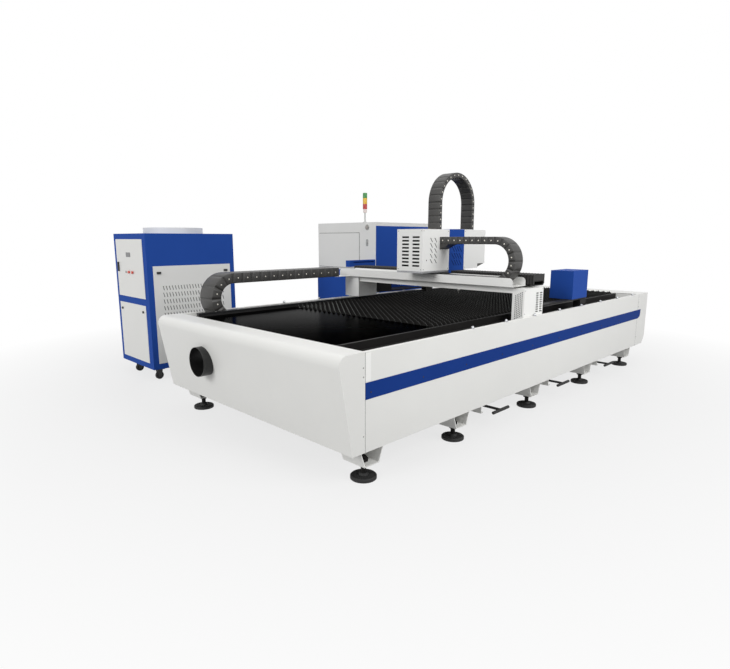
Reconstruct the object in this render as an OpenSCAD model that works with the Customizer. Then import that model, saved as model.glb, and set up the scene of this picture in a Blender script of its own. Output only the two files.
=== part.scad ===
// Open-bed sheet laser cutter: bed with saw-tooth slats, moving gantry, cutting head,
// three drag chains, control cabinet and water chiller. Sizes in millimetres.
// +X runs along the bed, +Y across it towards the cabinet, +Z up. The origin is on the
// floor, below the middle of the whole outline.

/* [Bed] */
// length of the bed from the front seam to the rear end face
bed_l = 4574; // [4450:1:5200]
// width over the side panels
bed_w = 2140; // [2080:1:2400]
// height of the bed's upper edge
bed_top = 780; // [740:1:840]
// height of the skirt's lower edge
skirt_z = 200; // [190:1:240]
// thickness of the folded panel sheets
sheet = 3; // [2:0.5:4]
// reach of the front end cover beyond the seam at its top
front_reach = 205; // [170:1:260]
// reach of the front end cover beyond the seam at its foot
front_foot = 100; // [60:1:150]
// radius of the front cover's upper edge
front_round = 60; // [30:1:80]
// length of the rear end cover
rear_l = 284; // [260:1:330]
// height of the coloured stripe's lower edge
stripe_z = 508; // [470:1:540]
// height of the coloured stripe
stripe_h = 97; // [60:1:120]
// outer diameter of the exhaust spigot
spigot_d = 215; // [160:1:240]
// free length of the exhaust spigot beyond the front cover
spigot_out = 20; // [10:1:60]

/* [Table] */
// start of the slat field behind the front seam
slat_x = 945; // [900:1:1000]
// spacing of the slats
slat_pitch = 50; // [48:1:60]
// thickness of one slat
slat_t = 4; // [3:0.5:5]
// spacing of the teeth along a slat
tooth_pitch = 60; // [50:1:80]
// depth of the teeth
tooth_h = 28; // [15:1:35]

/* [Feet and trays] */
// diameter of a levelling foot's disc
foot_d = 158; // [130:1:170]
// distance of the first foot behind the front seam
foot_first = 70; // [60:1:90]
// distance from the first foot to the second
foot_bay = 886; // [850:1:920]
// height of a foot bracket's lower plate
bracket_z = 100; // [90:1:120]
// width of a slag tray
tray_w = 400; // [300:1:460]
// length of a tray handle's cross bar
handle_l = 215; // [150:1:260]

/* [Gantry] */
// position of the gantry's front face along the bed
gantry_x = 1757; // [1700:1:1850]
// width of the near leg cover along the bed
leg_w = 308; // [290:1:340]
// rise of the near leg cover's top above the bed
leg_rise = 220; // [210:1:230]
// rise of the chain trough's floor above the bed
trough_rise = 235; // [234:1:260]
// height of the chain trough's walls
trough_h = 68; // [60:1:68]
// width of the chain trough
trough_w = 200; // [180:1:204]
// length of a motor cover along the bed
motor_l = 312; // [260:1:330]
// width of a motor cover
motor_w = 214; // [180:1:220]
// height of a motor cover
motor_h = 254; // [200:1:280]

/* [Head] */
// position of the head's near face across the bed
head_y = 814; // [760:1:900]
// width of the head across the bed
head_w = 278; // [260:1:300]
// height of the head covers
head_h = 349; // [320:1:380]
// length of the white motor cover
cover_l = 371; // [340:1:380]
// length of the coloured middle cover
middle_l = 221; // [218:1:230]
// length of the cutting axis cover
axis_l = 347; // [330:1:380]

/* [Drag chains] */
// height of the bed chain's section
xc_h = 85; // [75:1:85]
// width of the bed chain
xc_w = 200; // [160:1:204]
// radius of the bed chain's bend at its middle line
xc_r = 162; // [160:1:164]
// height of the beam chain's section
yc_h = 60; // [50:1:60]
// width of the beam chain
yc_w = 123; // [90:1:130]
// radius of the beam chain's bend at its middle line
yc_r = 160; // [150:1:166]
// width of the arched chain on the head
zc_w = 125; // [90:1:130]
// radius of the arched chain at its middle line
zc_r = 248; // [246:1:250]
// height of the arched chain's straight legs
zc_leg = 231; // [150:1:260]

/* [Cabinet and chiller] */
// gap between the bed and the cabinet
cabinet_gap = 160; // [120:1:300]
// length of the cabinet along the bed
cabinet_l = 1085; // [900:1:1200]
// width of the cabinet across the bed
cabinet_w = 1010; // [900:1:1100]
// height of the cabinet
cabinet_h = 1571; // [1500:1:1700]
// height of the cabinet's lower part
base_h = 1010; // [960:1:1030]
// gap between the bed and the chiller
chiller_gap = 920; // [700:1:1200]
// length of the chiller along the bed
chiller_l = 940; // [850:1:1000]
// width of the chiller across the bed
chiller_w = 770; // [740:1:800]
// height of the chiller's flat top
chiller_h = 1433; // [1400:1:1500]
// height of the chiller's body above the floor
chiller_z = 110; // [108:1:130]
// diameter of the fan shroud on the chiller
shroud_d = 590; // [450:1:640]

/* [Hidden] */
$fn = 48;

// paint colours
white = [0.88, 0.88, 0.87];
blue = [0.13, 0.25, 0.55];
black = [0.05, 0.05, 0.05];
steel = [0.6, 0.6, 0.62];
red = [0.75, 0.1, 0.08];

// gap between parts that slide past each other
slide = 0.5;
// gap between the end faces of neighbouring chain pieces
chain_gap = 0.4;

// bed frame
frame_wall = 8;
deck_t = 10;
deck_z = bed_top - deck_t;
beam_z = bed_top - 220;
near_deck = 240;
near_top = bed_top - 50;
far_deck = 305;
far_in = bed_w - far_deck;
pedestal_w = 58;
far_wall = 30;
return_w = 20;
ledge_z = bed_top - 80;
ledge_w = 50;
web_t = 12;
flange_w = 260;
flange_h = 14;
beam_x0 = 6;
skin_l = bed_l - rear_l;
frame_l = skin_l + 40 - beam_x0;
channel_w = 60;
rib_h = 80;
slat_lead = 75;
rear_strip = 44;
deck_end = skin_l - rear_strip;
rear_chamfer_x = 60;
rear_chamfer_z = 90;
stripe_t = 1.5;
stripe_over = 90;
stripe_slant = 67;

// front end cover
front_slope = (front_reach - front_foot) / (bed_top - skirt_z);
front_norm = sqrt(1 + front_slope * front_slope);
round_x = -front_reach + front_round * (front_slope + front_norm);
spigot_z = skirt_z + 315;
spigot_y = bed_w - 663;
spigot_wall = 3;
spigot_in = front_foot - 40;
spigot_fit = 0.2;

// feet
foot_sp = (bed_l - 471 - foot_first - foot_bay) / 3;
foot_x = [foot_first, for (i = [0:3]) foot_first + foot_bay + i * foot_sp];
foot_y = [85, bed_w - 173];
bracket_top = 190;
bracket_low = 120;
bracket_t = 6;
bracket_l = 180;
spindle_r = 16;
nut_d = 56;
nut_h = 22;
disc_h = 24;

// slats
slat_end = skin_l - 50;
slat_n = floor((slat_end - slat_x) / slat_pitch) + 1;
slat_y0 = near_deck + 17;
slat_y1 = far_in - 9;
slat_z1 = bed_top + 20;
slat_z0 = ledge_z + 12;
comb_t = 6;
comb_h = 50;
comb_fit = 0.3;
tooth_n = floor((slat_y1 - slat_y0) / tooth_pitch);
tooth_w = (slat_y1 - slat_y0) / tooth_n;

// trays
tray_x = [for (i = [1:3]) (foot_x[i] + foot_x[i + 1]) / 2 - 50];
tray_y0 = 215;
tray_l = bed_w - 2 * tray_y0;
tray_t = 3;
tray_h = 58;
runner_t = 5;
runner_lip = 28;
tray_fit = 3;
runner_z = skirt_z - 70;
runner_y = [30, 200];
handle_drop = 16;
tray_z = runner_z + runner_t + slide;
handle_r = 9;
rod_r = 8;
handle_y = -10;

// guide rails and bearing blocks
rail_w = 34;
rail_h = 26;
rail_y = [70, far_in + pedestal_w / 2];
rail_z = [near_top, bed_top];
block_w = 66;
block_l = 120;
saddle_z = bed_top + 53;
saddle_t = 12;
saddle_top = saddle_z + saddle_t;
saddle_y0 = 48;

// gantry
leg_y0 = 22;
leg_y1 = 125;
leg_bottom = near_top + 5;
leg_top = bed_top + leg_rise;
trough_z = bed_top + trough_rise;
rail_notch = 5;
far_leg_x = gantry_x - 17;
far_leg_w = 260;
far_leg_y = bed_w - 314;
far_leg_l = 193;
far_leg_z = bed_top + rail_h + rail_notch;
drive_x = far_leg_x + far_leg_w + 6;
drive_l = 240;
motor_x = gantry_x + 919;
beam_low = trough_z - 53;
beam_w = 305;
beam_x = gantry_x + 3;
beam_y1 = bed_w - 130;
beam_top = trough_z + 41;
upper_x = trough_x() + trough_w + 16;
trough_y0 = 90;
trough_y1 = bed_w - 90;
trough_round = 34;
yrail_w = 30;
upper_y0 = leg_y0 + 4;
upper_y1 = trough_y1 - 4;
yrail_x = [beam_x + 170, beam_x + 275];
yrail_z1 = beam_top + 26;
cover_t = 2;
motor_y = [saddle_y0, bed_w - saddle_y0 - motor_w];

// the trough's front wall stands in front of the beam
function trough_x() = gantry_x - 67;

// head
plate_z = yrail_z1 + 15;
bellows_x = [trough_x() + trough_w + 2, beam_x + beam_w + 13];
bellows_z = trough_z + 11;
bellows_top = plate_z + 9;
bellows_end = 4;
fold = 26;
fold_in = 8;
fold_wall = 10;
plate_t = 16;
head_z = plate_z + plate_t;
head_top = head_z + head_h;
cover_x = gantry_x - 271;
middle_x = cover_x + cover_l;
axis_x = middle_x + middle_l;
axis_end = axis_x + axis_l;
head_mid = head_y + head_w / 2;
notch_l = 120;
notch_h = 42;
zplate_t = 15;
zplate_x = max(axis_x + 7, beam_x + beam_w + 20);
zrail_h = 15;
zrail_w = 20;
zrail_off = 73;
slide_x = zplate_x + zplate_t + zrail_h + 15;
slide_t = 15;
tool_x = slide_x + slide_t + 72;
tool_r = 38;
tool_tip = bed_top + 90;
tab_z = head_top + 2;
tab_t = 6;
zc_t = 42;
zc_x = middle_x - 31;
zc_mid = zc_x + zc_r;

// drag chains
chain_wall = 6;
groove = 2;
rivet_r = 6;
rivet_h = 1.5;
rivet_in = 2;
xc_pitch = 88;
yc_pitch = 60;
xc_y = far_in + pedestal_w + 7;
xc_floor = bed_top - 87;
xc_low = xc_floor + slide;
xc_top = xc_low + 2 * xc_r;
xc_cx = 361;
xc_end = gantry_x - 215;
xc_fix = 1500;
yc_x = trough_x() + 30;
yc_low = trough_z + sheet + slide;
yc_top = yc_low + 2 * yc_r;
yc_cy = 284;
yc_fix = 1184;

// cabinet
cab_x = 2475;
cab_y = bed_w + cabinet_gap;
cab_wall = 4;
plinth_h = 60;
door_y0 = cab_y + 265;
door_y1 = cab_y + cabinet_w - 20;
door_z0 = base_h + 30;
door_z1 = cabinet_h - 121;
door_t = 4;
panel_t = 3;
shelf_l = 412;
shelf_w = 60;
shelf_z0 = base_h + 65;
shelf_h = 71;
knob_y = cab_y + 134;
tower_x = cab_x + 131;
tower_y = cab_y + 300;
tower_r = 26;

// chiller
chi_x = 135;
chi_y = bed_w + chiller_gap;
chi_wall = 4;
chi_split = chiller_z + 660;
chi_door_y0 = chi_y + 75;
chi_door_y1 = chi_y + chiller_w - 55;
chi_door_z0 = chi_split + 34;
chi_door_z1 = chiller_h - 55;
chi_low_z0 = chiller_z + 56;
chi_low_z1 = chi_split - 33;
chi_panel_x0 = chi_x + 56;
chi_panel_x1 = chi_x + chiller_l - 52;
chi_panel_z1 = chiller_h - 311;
slot_n = 22;
slot_rows = 5;
slot_step = (chi_panel_x1 - chi_panel_x0 - 190) / (slot_n - 1);
button_y = [chi_door_y0 + 335, chi_door_y0 + 248];
lamp_y = chi_door_y0 + 416;
button_z = chiller_h - 380;
button_r = 14;
shroud_h = 60;
shroud_t = 4;
fan_r = shroud_d / 2 - 20;
fan_hub = 55;
fan_chord = 90;
wheel_r = 40;
wheel_w = 30;
castor_x = [chi_x + 75, chi_x + chiller_l - 90];
castor_y = [chi_y + 58, chi_y + chiller_w - 235];
axle_r = 6;
fork_t = 4;
castor_plate = 8;
pin_r = 10;

// shift that centres the outline over the origin
shift_x = -(bed_l - front_reach - spigot_out) / 2;
shift_y = -(chi_y + chiller_w + handle_y - handle_r) / 2;

module place() {
    translate([shift_x, shift_y, 0]) children();
}

// block from its lowest to its highest corner
module box(x0, x1, y0, y1, z0, z1) {
    translate([x0, y0, z0]) cube([x1 - x0, y1 - y0, z1 - z0]);
}

// plate drawn in X and Z, from y on for its thickness t
module plate_xz(y, t) {
    translate([0, y + t, 0]) rotate([90, 0, 0]) linear_extrude(t) children();
}

// bar drawn in Y and Z, from x on for its length l
module bar_x(x, l) {
    translate([x, 0, 0]) rotate([90, 0, 90]) linear_extrude(l) children();
}

// rod along Y
module rod_y(x, y0, y1, z, r) {
    translate([x, y0, z]) rotate([-90, 0, 0]) cylinder(h = y1 - y0, r = r);
}

// rod along X
module rod_x(x0, x1, y, z, r) {
    translate([x0, y, z]) rotate([0, 90, 0]) cylinder(h = x1 - x0, r = r);
}

// rectangle from corner to corner
module rect(a0, a1, b0, b1) {
    translate([a0, b0]) square([a1 - a0, b1 - b0]);
}

// hollow section with a wall t
module tube_rect(a0, a1, b0, b1, t) {
    difference() {
        rect(a0, a1, b0, b1);
        rect(a0 + t, a1 - t, b0 + t, b1 - t);
    }
}

// near and far side frames; the near rail deck lies below the panel's edge and is closed at both
// ends, the far one carries the trough of the bed chain
module side_frames() color(white) place() {
    bar_x(beam_x0, frame_l) {
        tube_rect(sheet, near_deck, beam_z, near_top - deck_t, frame_wall);
        rect(sheet, sheet + web_t, skirt_z, beam_z);
        rect(sheet + web_t, flange_w, skirt_z, skirt_z + flange_h);
        rect(near_deck, near_deck + ledge_w, ledge_z - flange_h, ledge_z);
    }
    box(beam_x0 - 5, beam_x0, return_w, near_deck, ledge_z, bed_top - sheet);
    box(deck_end, deck_end + frame_wall, return_w, near_deck, near_top - deck_t, bed_top - sheet);
    bar_x(beam_x0, frame_l) {
        tube_rect(far_in, bed_w - sheet, beam_z, xc_floor, frame_wall);
        rect(far_in, far_in + pedestal_w, xc_floor, deck_z);
        rect(bed_w - sheet - far_wall, bed_w - sheet, xc_floor, bed_top - sheet);
        rect(bed_w - sheet - web_t, bed_w - sheet, skirt_z, beam_z);
        rect(bed_w - flange_w, bed_w - sheet - web_t, skirt_z, skirt_z + flange_h);
        rect(far_in - ledge_w, far_in, ledge_z - flange_h, ledge_z);
    }
}

// open channel across the bed
module channel_y(x, z1, h) {
    translate([0, near_deck, 0]) plate_xz(0, far_in - near_deck) difference() {
        rect(x, x + channel_w, z1 - h, z1);
        rect(x + frame_wall, x + channel_w, z1 - h + frame_wall, z1 - frame_wall);
    }
}

module cross_members() color(white) place() {
    channel_y(beam_x0 + 4, deck_z, deck_z - ledge_z);
    for (i = [1:4]) channel_y(foot_x[i] - channel_w / 2, beam_z + rib_h, rib_h);
    channel_y(slat_x - slat_lead, deck_z, deck_z - ledge_z);
    channel_y(deck_end - 1, deck_z, deck_z - ledge_z);
}

// side outline of the front end cover, set inwards by d
module front_outline(d) {
    low = skirt_z - 2 * d;
    foot = -front_foot - front_slope * (low - skirt_z) + d * front_norm;
    r = front_round - d;
    round_z = bed_top - front_round;
    polygon([[2 * d, low], [foot, low],
        [round_x - r / front_norm, round_z - r * front_slope / front_norm],
        [round_x, round_z + r], [2 * d, round_z + r]]);
    translate([round_x, round_z]) circle(r);
}

module front_end_cover() color(white) place() difference() {
    union() {
        plate_xz(0, bed_w) difference() {
            front_outline(0);
            front_outline(sheet);
        }
        plate_xz(0, sheet) front_outline(0);
        plate_xz(bed_w - sheet, sheet) front_outline(0);
    }
    rod_x(-front_reach - 50, 0, spigot_y, spigot_z, spigot_d / 2 + spigot_fit);
}

module rear_outline(d) {
    x1 = bed_l - d;
    polygon([[skin_l - d, skirt_z - d], [x1 - rear_chamfer_x, skirt_z - d],
        [x1 - rear_chamfer_x, skirt_z], [x1, skirt_z + rear_chamfer_z], [x1, bed_top - d],
        [skin_l - d, bed_top - d]]);
}

module rear_end_cover() color(white) place() {
    plate_xz(0, bed_w) difference() {
        rear_outline(0);
        rear_outline(sheet);
    }
    plate_xz(0, sheet) rear_outline(0);
    plate_xz(bed_w - sheet, sheet) rear_outline(0);
}

module side_skins() color(white) place() {
    bar_x(0, skin_l) {
        rect(0, sheet, skirt_z, bed_top);
        rect(sheet, return_w, bed_top - sheet, bed_top);
    }
    bar_x(0, skin_l) {
        rect(bed_w - sheet, bed_w, skirt_z, bed_top);
        rect(bed_w - return_w, bed_w - sheet, bed_top - sheet, bed_top);
    }
}

// painted stripe with a slanted rear end
module stripe_outline() {
    x1 = skin_l + stripe_over;
    polygon([[0, stripe_z], [x1 - stripe_slant, stripe_z],
        [x1 - stripe_slant / 3, stripe_z + stripe_h / 6],
        [x1 - stripe_slant / 9, stripe_z + stripe_h / 3],
        [x1, stripe_z + stripe_h], [0, stripe_z + stripe_h]]);
}

module side_stripes() color(blue) place() {
    plate_xz(-stripe_t, stripe_t) stripe_outline();
    plate_xz(bed_w, stripe_t) stripe_outline();
}

// folded trapezoid bracket, open towards both sides of the bed
module foot_bracket(x, y) {
    a = bracket_top / 2;
    b = bracket_low / 2;
    t = bracket_t;
    difference() {
        plate_xz(y - bracket_l / 2 + 20, bracket_l) polygon([[x - a, skirt_z], [x - b, bracket_z],
            [x + b, bracket_z], [x + a, skirt_z], [x + a - t, skirt_z],
            [x + b - t, bracket_z + t], [x - b + t, bracket_z + t], [x - a + t, skirt_z]]);
        translate([x, y, bracket_z - 1]) cylinder(h = t + 2, r = spindle_r + slide);
    }
}

module foot_brackets() color(white) place() {
    for (x = foot_x, y = foot_y) foot_bracket(x, y);
}

// disc, spindle and the two lock nuts that clamp the bracket's lower plate
module levelling_foot() {
    r = foot_d / 2;
    rotate_extrude() polygon([[0, 0], [r - 3, 0], [r, 3], [r, disc_h - 5], [r - 5, disc_h],
        [spindle_r + 14, disc_h], [spindle_r + 8, disc_h + 14], [spindle_r, disc_h + 14],
        [spindle_r, bracket_z + bracket_t + nut_h + 14], [0, bracket_z + bracket_t + nut_h + 14]]);
    for (z = [bracket_z - nut_h, bracket_z + bracket_t]) translate([0, 0, z])
        cylinder(h = nut_h, d = nut_d, $fn = 6);
}

module levelling_feet() color(black) place() {
    for (x = foot_x, y = foot_y) translate([x, y, 0]) levelling_foot();
}

module exhaust_spigot() color(black) place() difference() {
    rod_x(-front_reach - spigot_out, -spigot_in, spigot_y, spigot_z, spigot_d / 2);
    rod_x(-front_reach - spigot_out - 1, -spigot_in + 1, spigot_y, spigot_z,
        spigot_d / 2 - spigot_wall);
}

// notched bar that holds the slats upright
module slat_comb(y) {
    x0 = slat_x - 12;
    w = slat_t / 2 + comb_fit;
    x1 = slat_x + (slat_n - 1) * slat_pitch + 12;
    plate_xz(y, comb_t) polygon([[x0, ledge_z], [x0, ledge_z + comb_h],
        for (i = [0:slat_n - 1], p = [[-w, comb_h], [-w, 12], [w, 12], [w, comb_h]])
            [slat_x + i * slat_pitch + p[0], ledge_z + p[1]],
        [x1, ledge_z + comb_h], [x1, ledge_z]]);
}

module slat_combs() color(black) place() {
    slat_comb(slat_y0 + 15);
    slat_comb(slat_y1 - 15 - comb_t);
}

// one saw-tooth slat
module support_slat() {
    polygon([[slat_y0, slat_z0], [slat_y0, slat_z1 - tooth_h],
        for (i = [0:tooth_n - 1], p = [[0.5, 0], [1, -tooth_h]])
            [slat_y0 + (i + p[0]) * tooth_w, slat_z1 + p[1]],
        [slat_y1, slat_z0]]);
}

module support_slats() color(black) place() {
    for (i = [0:slat_n - 1]) bar_x(slat_x + i * slat_pitch - slat_t / 2, slat_t) support_slat();
}

module table_plates() color(black) place() {
    box(beam_x0, slat_x - 15, near_deck, far_in, deck_z, bed_top - 4);
    box(deck_end, skin_l, near_deck, far_in, deck_z, bed_top - 4);
}

// section of a profile rail, standing on z
module rail_section(w, h) {
    polygon([[-w / 2, 0], [w / 2, 0], [w / 2, h * 0.35], [w * 0.36, h * 0.5], [w / 2, h * 0.65],
        [w / 2, h], [-w / 2, h], [-w / 2, h * 0.65], [-w * 0.36, h * 0.5], [-w / 2, h * 0.35]]);
}

// rails on their decks along both sides of the bed
module x_guide_rails() color(black) place() {
    deck_l = deck_end - beam_x0;
    bar_x(beam_x0, deck_l) {
        rect(sheet, near_deck, near_top - deck_t, near_top);
        translate([rail_y[0], near_top]) rail_section(rail_w, rail_h);
    }
    bar_x(beam_x0, deck_l) {
        rect(far_in, far_in + pedestal_w, deck_z, bed_top);
        translate([rail_y[1], bed_top]) rail_section(rail_w, rail_h);
    }
}

// loading balls along both edges, each in a low housing
module ball_transfer_units() color(steel) place() {
    n = 8;
    sp = (skin_l - 192 - 1040) / (n - 1);
    for (i = [0:n - 1], y = [7, bed_w - 7]) translate([1040 + i * sp, y, bed_top]) {
        cylinder(h = 10, r = 12);
        translate([0, 0, 10]) sphere(r = 10);
    }
}

// angle runners of the trays; the front one of each pair starts nearer to the skirt
module tray_runners() color(white) place() {
    for (x = tray_x, i = [0, 1]) {
        in = tray_w / 2 + tray_fit;
        translate([x, runner_y[i], 0]) mirror([1 - i, 0, 0]) plate_xz(0, bed_w - runner_y[i] - 60) {
            rect(in, in + runner_t, runner_z, skirt_z);
            rect(in - runner_lip, in, runner_z, runner_z + runner_t);
        }
    }
}

// open slag tray with a T handle
module slag_tray(x) {
    y0 = tray_y0;
    difference() {
        box(x - tray_w / 2, x + tray_w / 2, y0, y0 + tray_l, tray_z, tray_z + tray_h);
        box(x - tray_w / 2 + tray_t, x + tray_w / 2 - tray_t, y0 + tray_t, y0 + tray_l - tray_t,
            tray_z + tray_t, tray_z + tray_h + 1);
    }
    box(x - 25, x + 25, y0 - 4, y0 + 1, tray_z - handle_drop - 14, tray_z + 20);
    rod_y(x, handle_y, y0 - 3, tray_z - handle_drop, rod_r);
    rod_x(x - handle_l / 2, x + handle_l / 2, handle_y, tray_z - handle_drop, handle_r);
}

module slag_tray_1() color(black) place() slag_tray(tray_x[0]);

module slag_tray_2() color(black) place() slag_tray(tray_x[1]);

module slag_tray_3() color(black) place() slag_tray(tray_x[2]);

// straight chain along +X from the origin: hollow links with joint grooves and rivets
module chain_run(l, w, h, pitch) {
    n = floor(l / pitch);
    difference() {
        bar_x(0, l) tube_rect(0, w, 0, h, chain_wall);
        for (i = [1:n], z = [-1, h - groove]) box(l - i * pitch, l - i * pitch + groove,
            -1, w + 1, z, z + groove + 1);
    }
    for (i = [0:n - 1], y = [-rivet_h, w - rivet_in])
        rod_y(l - (i + 0.5) * pitch, y, y + rivet_h + rivet_in, h / 2, rivet_r);
}

// half turn of chain about the Y axis, hanging below the origin
module chain_loop(r, w, h, n) {
    rotate([-90, 0, 0]) {
        difference() {
            rotate_extrude(angle = 180, $fn = 96) translate([r, 0])
                tube_rect(-h / 2, h / 2, 0, w, chain_wall);
            for (i = [1:n - 1]) rotate(180 * i / n) box(r + h / 2 - groove, r + h / 2 + 2,
                -groove / 2, groove / 2, -1, w + 1);
        }
        for (i = [0:n - 1], z = [-rivet_h, w - rivet_in]) rotate(180 * (i + 0.5) / n)
            translate([r, 0, z]) cylinder(h = rivet_h + rivet_in, r = rivet_r);
    }
}

// fixed run of the bed chain in the far trough, with its anchor block
module x_chain_lower_run() color(black) place() {
    translate([xc_cx + chain_gap, xc_y, xc_low])
        chain_run(xc_fix - xc_cx - chain_gap, xc_w, xc_h, xc_pitch);
    box(xc_fix, xc_fix + 60, xc_y, xc_y + xc_w, xc_floor, xc_floor + xc_h);
}

module x_chain_upper_run() color(black) place()
    translate([xc_cx + chain_gap, xc_y, xc_top])
        chain_run(xc_end - xc_cx - chain_gap, xc_w, xc_h, xc_pitch);

module x_chain_loop() color(black) place()
    translate([xc_cx, xc_y, xc_low + xc_r + xc_h / 2]) rotate([0, 90, 0])
        chain_loop(xc_r, xc_w, xc_h, 7);

// hollow beam; the narrower tube on it carries the rails and runs on past both legs
module gantry_beam() color(white) place() {
    plate_xz(leg_y1, beam_y1 - leg_y1)
        tube_rect(beam_x, beam_x + beam_w, beam_low, trough_z, frame_wall);
    plate_xz(upper_y0, upper_y1 - upper_y0)
        tube_rect(upper_x, beam_x + beam_w, trough_z, beam_top, frame_wall);
}

// posts between the saddles and the beam
module gantry_posts() color(black) place() {
    box(beam_x + 40, beam_x + 280, saddle_y0 + 4, leg_y1, saddle_top, leg_top - cover_t - slide);
    box(beam_x + 10, far_leg_x + far_leg_w - 10, far_leg_y + 12, beam_y1, saddle_top, beam_low);
}

// folded dust cover over the beam's rails, fixed to the beam at one end, free at the head
module bellows(fixed, free) {
    l = abs(free - fixed);
    n = round(l / fold);
    step = l / n / 2;
    translate([0, fixed, 0]) mirror([0, free < fixed ? 1 : 0, 0]) difference() {
        intersection() {
            translate([0, 0, bellows_z]) linear_extrude(bellows_top - bellows_z) polygon([
                for (i = [0:2 * n]) [bellows_x[0] + (i % 2) * fold_in, i * step],
                for (i = [2 * n:-1:0]) [bellows_x[1] - (i % 2) * fold_in, i * step]]);
            bar_x(bellows_x[0], bellows_x[1] - bellows_x[0]) polygon([[0, bellows_z], [l, bellows_z],
                for (i = [2 * n:-1:0]) [i * step, bellows_top - (i % 2) * fold_in]]);
        }
        box(bellows_x[0] + fold_wall, bellows_x[1] - fold_wall, bellows_end, l + 1, bellows_z - 1,
            bellows_top - fold_wall);
        box(upper_x, beam_x + beam_w, -1, bellows_end + 1, bellows_z - 1, beam_top);
    }
}

module bellows_near() color(black) place() bellows(upper_y0, head_y - sheet - 1);

module bellows_far() color(black) place() bellows(upper_y1, head_y + head_w + sheet + 1);

// wall of the trough with rounded upper corners
module trough_wall(x) {
    r = trough_round;
    z1 = trough_z + trough_h;
    bar_x(x, sheet) {
        rect(trough_y0, trough_y1, trough_z, z1 - r);
        rect(trough_y0 + r, trough_y1 - r, z1 - r, z1);
        for (y = [trough_y0 + r, trough_y1 - r]) translate([y, z1 - r]) circle(r);
    }
}

// trough of the beam chain, with the bracket that pulls the bed chain
module beam_chain_trough() color(white) place() {
    x0 = trough_x();
    box(x0, x0 + trough_w, trough_y0, trough_y1, trough_z, trough_z + sheet);
    trough_wall(x0);
    trough_wall(x0 + trough_w - sheet);
    box(xc_end - 40, x0 + sheet, xc_y, trough_y1, xc_top - sheet, xc_top);
    box(x0, x0 + sheet, xc_y, trough_y1, min(trough_z, xc_top - sheet), max(trough_z, xc_top) + sheet);
}

// bearing block around a rail that stands on z, along X
module bearing_block(x, y, z) {
    w = rail_w / 2 + slide;
    bar_x(x, block_l) difference() {
        rect(y - block_w / 2, y + block_w / 2, z + 4, saddle_z);
        rect(y - w, y + w, z, z + rail_h + slide);
    }
}

// saddles on their bearing blocks, with a drive housing behind the far leg
module gantry_saddles() color(black) place() {
    x1 = motor_x + motor_l;
    box(drive_x, drive_x + drive_l, rail_y[1] - 25, rail_y[1] + 35, saddle_top, beam_low - 20);
    for (i = [0:1]) {
        for (x = [gantry_x + 30, x1 - block_l - 40]) bearing_block(x, rail_y[i], rail_z[i]);
        y0 = i == 0 ? saddle_y0 : rail_y[1] - 33;
        y1 = i == 0 ? leg_y1 - 4 : beam_y1;
        box(gantry_x + 10, motor_x, y0, y1, saddle_z, saddle_top);
        m0 = min(y0, motor_y[i]);
        m1 = max(y1, motor_y[i] + motor_w);
        box(motor_x, x1, m0, m1, saddle_z, saddle_top);
    }
}

// row of horizontal slots
module slot_rows_2d(a0, a1, b0, b1, n) {
    sp = (b1 - b0) / n;
    for (i = [0:n - 1]) rect(a0, a1, b0 + (i + 0.25) * sp, b0 + (i + 0.75) * sp);
}

// cover of the near leg: perforated front, slotted side, closed top
module near_leg_cover() color(white) place() {
    x0 = gantry_x;
    x1 = gantry_x + leg_w;
    difference() {
        union() {
            box(x0, x0 + cover_t, leg_y0, leg_y1, leg_bottom, leg_top);
            box(x0, x1, leg_y0, leg_y0 + cover_t, leg_bottom, leg_top);
            box(x0, x1, leg_y0, leg_y1, leg_top - cover_t, leg_top);
        }
        box(x0 - 1, x0 + cover_t + 1, rail_y[0] - rail_w / 2 - rail_notch,
            rail_y[0] + rail_w / 2 + rail_notch, leg_bottom - 1, near_top + rail_h + rail_notch);
        plate_xz(leg_y0 - 1, cover_t + 2) for (i = [0:1]) {
            a = x0 + leg_w * 0.62 + i * leg_w * 0.2;
            slot_rows_2d(a, a + leg_w * 0.13, bed_top + 20, leg_top - 35, 9);
        }
        bar_x(x0 - 1, cover_t + 2) for (i = [0:12], j = [0:4]) {
            translate([leg_y1 - 28 - j * 14, leg_bottom + 30 + i * 15 + j * 7]) circle(d = 12, $fn = 4);
        }
    }
}

// cover of the far leg with an upright-ribbed inner face
module far_leg_cover() color(white) place() {
    x0 = far_leg_x;
    x1 = x0 + far_leg_w;
    y0 = far_leg_y;
    y1 = y0 + far_leg_l;
    box(x0, x0 + cover_t, y0, y1, far_leg_z, trough_z);
    difference() {
        box(x0, x1, y0, y0 + cover_t, far_leg_z, beam_low);
        for (i = [0:9]) box(x0 + 22 + i * 22, x0 + 30 + i * 22, y0 - 1, y0 + cover_t + 1,
            far_leg_z + 25, beam_low - 20);
    }
    box(x0, x1, y1 - cover_t, y1, far_leg_z, trough_z);
}

// open-bottomed covers over the two gantry motors
module motor_covers() color(blue) place() {
    for (y = motor_y) difference() {
        box(motor_x, motor_x + motor_l, y, y + motor_w, saddle_top, saddle_top + motor_h);
        box(motor_x + cover_t, motor_x + motor_l - cover_t, y + cover_t, y + motor_w - cover_t,
            saddle_top - 1, saddle_top + motor_h - cover_t);
    }
}

module y_guide_rails() color(steel) place() {
    for (x = yrail_x) translate([x, 0, beam_top]) plate_xz(leg_y1 + 10, beam_y1 - leg_y1 - 20)
        rail_section(yrail_w, yrail_z1 - beam_top);
}

// chain pieces of the beam run along Y
module y_chain_place(z) {
    translate([yc_x + yc_w, yc_cy + chain_gap, z]) rotate([0, 0, 90]) children();
}

module y_chain_lower_run() color(black) place() {
    y_chain_place(yc_low) chain_run(yc_fix - yc_cy - chain_gap, yc_w, yc_h, yc_pitch);
    box(yc_x, yc_x + yc_w, yc_fix, yc_fix + 40, trough_z + sheet, trough_z + sheet + yc_h);
}

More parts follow.
